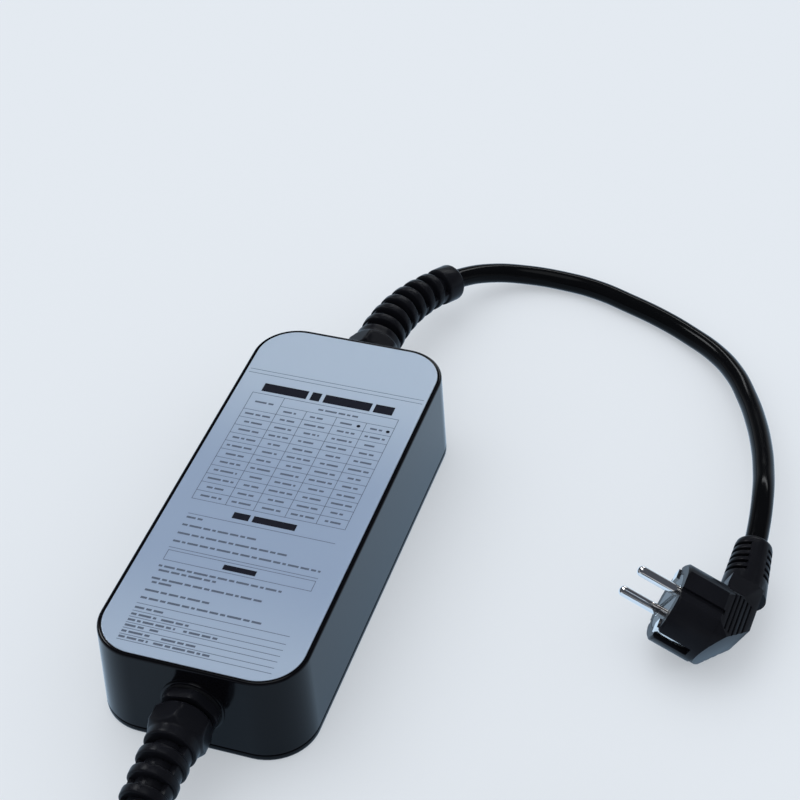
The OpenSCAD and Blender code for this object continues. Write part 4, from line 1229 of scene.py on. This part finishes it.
class CHARGER_OT_inner_parts(bpy.types.Operator):
    """Finishes of the board, its parts, the cores, the seals, the screws and the leads' ends"""
    bl_idname = "charger.inner_parts"
    bl_label = "Inner parts"

    def execute(self, context):
        dress(finish("board_mask", (0.010, 0.075, 0.030), 0.35, grain=700.0, marks=1.5),
              "circuit_board")
        dress(finish("moulded_block", (0.016, 0.017, 0.020), 0.45),
              "power_relays", "supply_module", "leakage_sensor", "control_chip")
        dress(finish("blue_sleeve", (0.010, 0.020, 0.065), 0.3), "storage_capacitors")
        dress(finish("terminal_green", (0.020, 0.100, 0.050), 0.45),
              "mains_terminals", "car_terminals")
        dress(finish("lamp_lens", (0.60, 0.72, 0.60), 0.25, marks=0.9), "status_lamps")
        dress(finish("frosted_guide", (0.66, 0.70, 0.74), 0.35, marks=0.95), "light_guide")
        dress(finish("brown_core", (0.070, 0.030, 0.014), 0.35), "mains_cores")
        dress(finish("blue_core", (0.012, 0.030, 0.130), 0.35), "car_cores")
        dress(seal_finish(), "base_seal", "mains_gland_washer", "car_gland_washer",
              "mains_gland_insert", "car_gland_insert")
        dress(steel_finish(), "cover_screws", "board_screws")
        dress(shell_finish(), "mains_gland_locknut", "car_gland_locknut")
        dress(sheath_finish(), "mains_cable_end", "car_cable_end")
        return {"FINISHED"}


class CHARGER_OT_plug(bpy.types.Operator):
    """Finishes of the mains plug, and the rounding of its edges"""
    bl_idname = "charger.plug"
    bl_label = "Mains plug"

    def execute(self, context):
        dress(soft_finish(), "plug_body")
        dress(shell_finish(), "plug_bridge")
        dress(finish("nickel_pin", (0.84, 0.81, 0.79), 0.06, metallic=1.0, marks=0.85,
                     grain=3000.0), "plug_pins")
        dress(finish("bright_clip", (0.80, 0.77, 0.74), 0.14, metallic=1.0, marks=0.85),
              "plug_earth_clips")
        soften(0.8, "plug_body")
        soften(0.3, "plug_bridge")
        return {"FINISHED"}


class CHARGER_OT_connector(bpy.types.Operator):
    """Finishes of the car connector, and the rounding of its cap"""
    bl_idname = "charger.connector"
    bl_label = "Car connector"

    def execute(self, context):
        dress(shell_finish(), "connector_shell_left", "connector_shell_right", "connector_nose")
        dress(soft_finish(), "connector_grommet", "connector_cap")
        dress(sheath_finish(), "connector_cable")
        dress(steel_finish(), "connector_screws")
        dress(finish("contact_plate", (0.62, 0.46, 0.20), 0.25, metallic=1.0, marks=0.8),
              "connector_contacts")
        soften(0.7, "connector_cap")
        return {"FINISHED"}


class CHARGER_OT_straps(bpy.types.Operator):
    """Finish of the straps round the coiled lead"""
    bl_idname = "charger.straps"
    bl_label = "Coil straps"

    def execute(self, context):
        dress(finish("strap_weave", (0.020, 0.021, 0.023), 0.8, grain=600.0, depth=0.6),
              "coil_straps")
        return {"FINISHED"}


class CHARGER_OT_cords(bpy.types.Operator):
    """Takes no step of its own: both leads are built by their own operators"""
    bl_idname = "charger.cords"
    bl_label = "Declare leads"

    def execute(self, context):
        return {"FINISHED"}


class CHARGER_PT_pieces(bpy.types.Panel):
    """Buttons for the charger's pieces"""
    bl_label = "Portable car charger"
    bl_idname = "CHARGER_PT_pieces"
    bl_space_type = "VIEW_3D"
    bl_region_type = "UI"
    bl_category = "Charger"

    def draw(self, context):
        layout = self.layout
        for step in STEPS:
            layout.operator(step.bl_idname)
        for group in GROUPS:
            box = layout.box()
            settings = getattr(context.scene, group)
            for prop in settings.__annotations__:
                box.prop(settings, prop)


STEPS = (CHARGER_OT_stage, CHARGER_OT_mains_lead, CHARGER_OT_car_lead, CHARGER_OT_control_box,
         CHARGER_OT_label, CHARGER_OT_glands, CHARGER_OT_strain_reliefs, CHARGER_OT_inner_parts,
         CHARGER_OT_plug, CHARGER_OT_connector, CHARGER_OT_straps, CHARGER_OT_cords)
GROUPS = {"charger_box": ChargerBoxSizes, "charger_leads": ChargerLeadSizes,
          "charger_colours": ChargerColours, "charger_view": ChargerView}


def register():
    """Registers the classes and hangs the settings on the scene."""
    for cls in (*GROUPS.values(), *STEPS, CHARGER_PT_pieces):
        bpy.utils.register_class(cls)
    for name, group in GROUPS.items():
        setattr(bpy.types.Scene, name, PointerProperty(type=group))


def unregister():
    """Takes away what register added."""
    for name in GROUPS:
        delattr(bpy.types.Scene, name)
    for cls in reversed((*GROUPS.values(), *STEPS, CHARGER_PT_pieces)):
        bpy.utils.unregister_class(cls)


def main():
    """Builds every piece in order."""
    register()
    for step in STEPS:
        family, name = step.bl_idname.split(".")
        getattr(getattr(bpy.ops, family), name)()


if __name__ == "__main__":
    main()
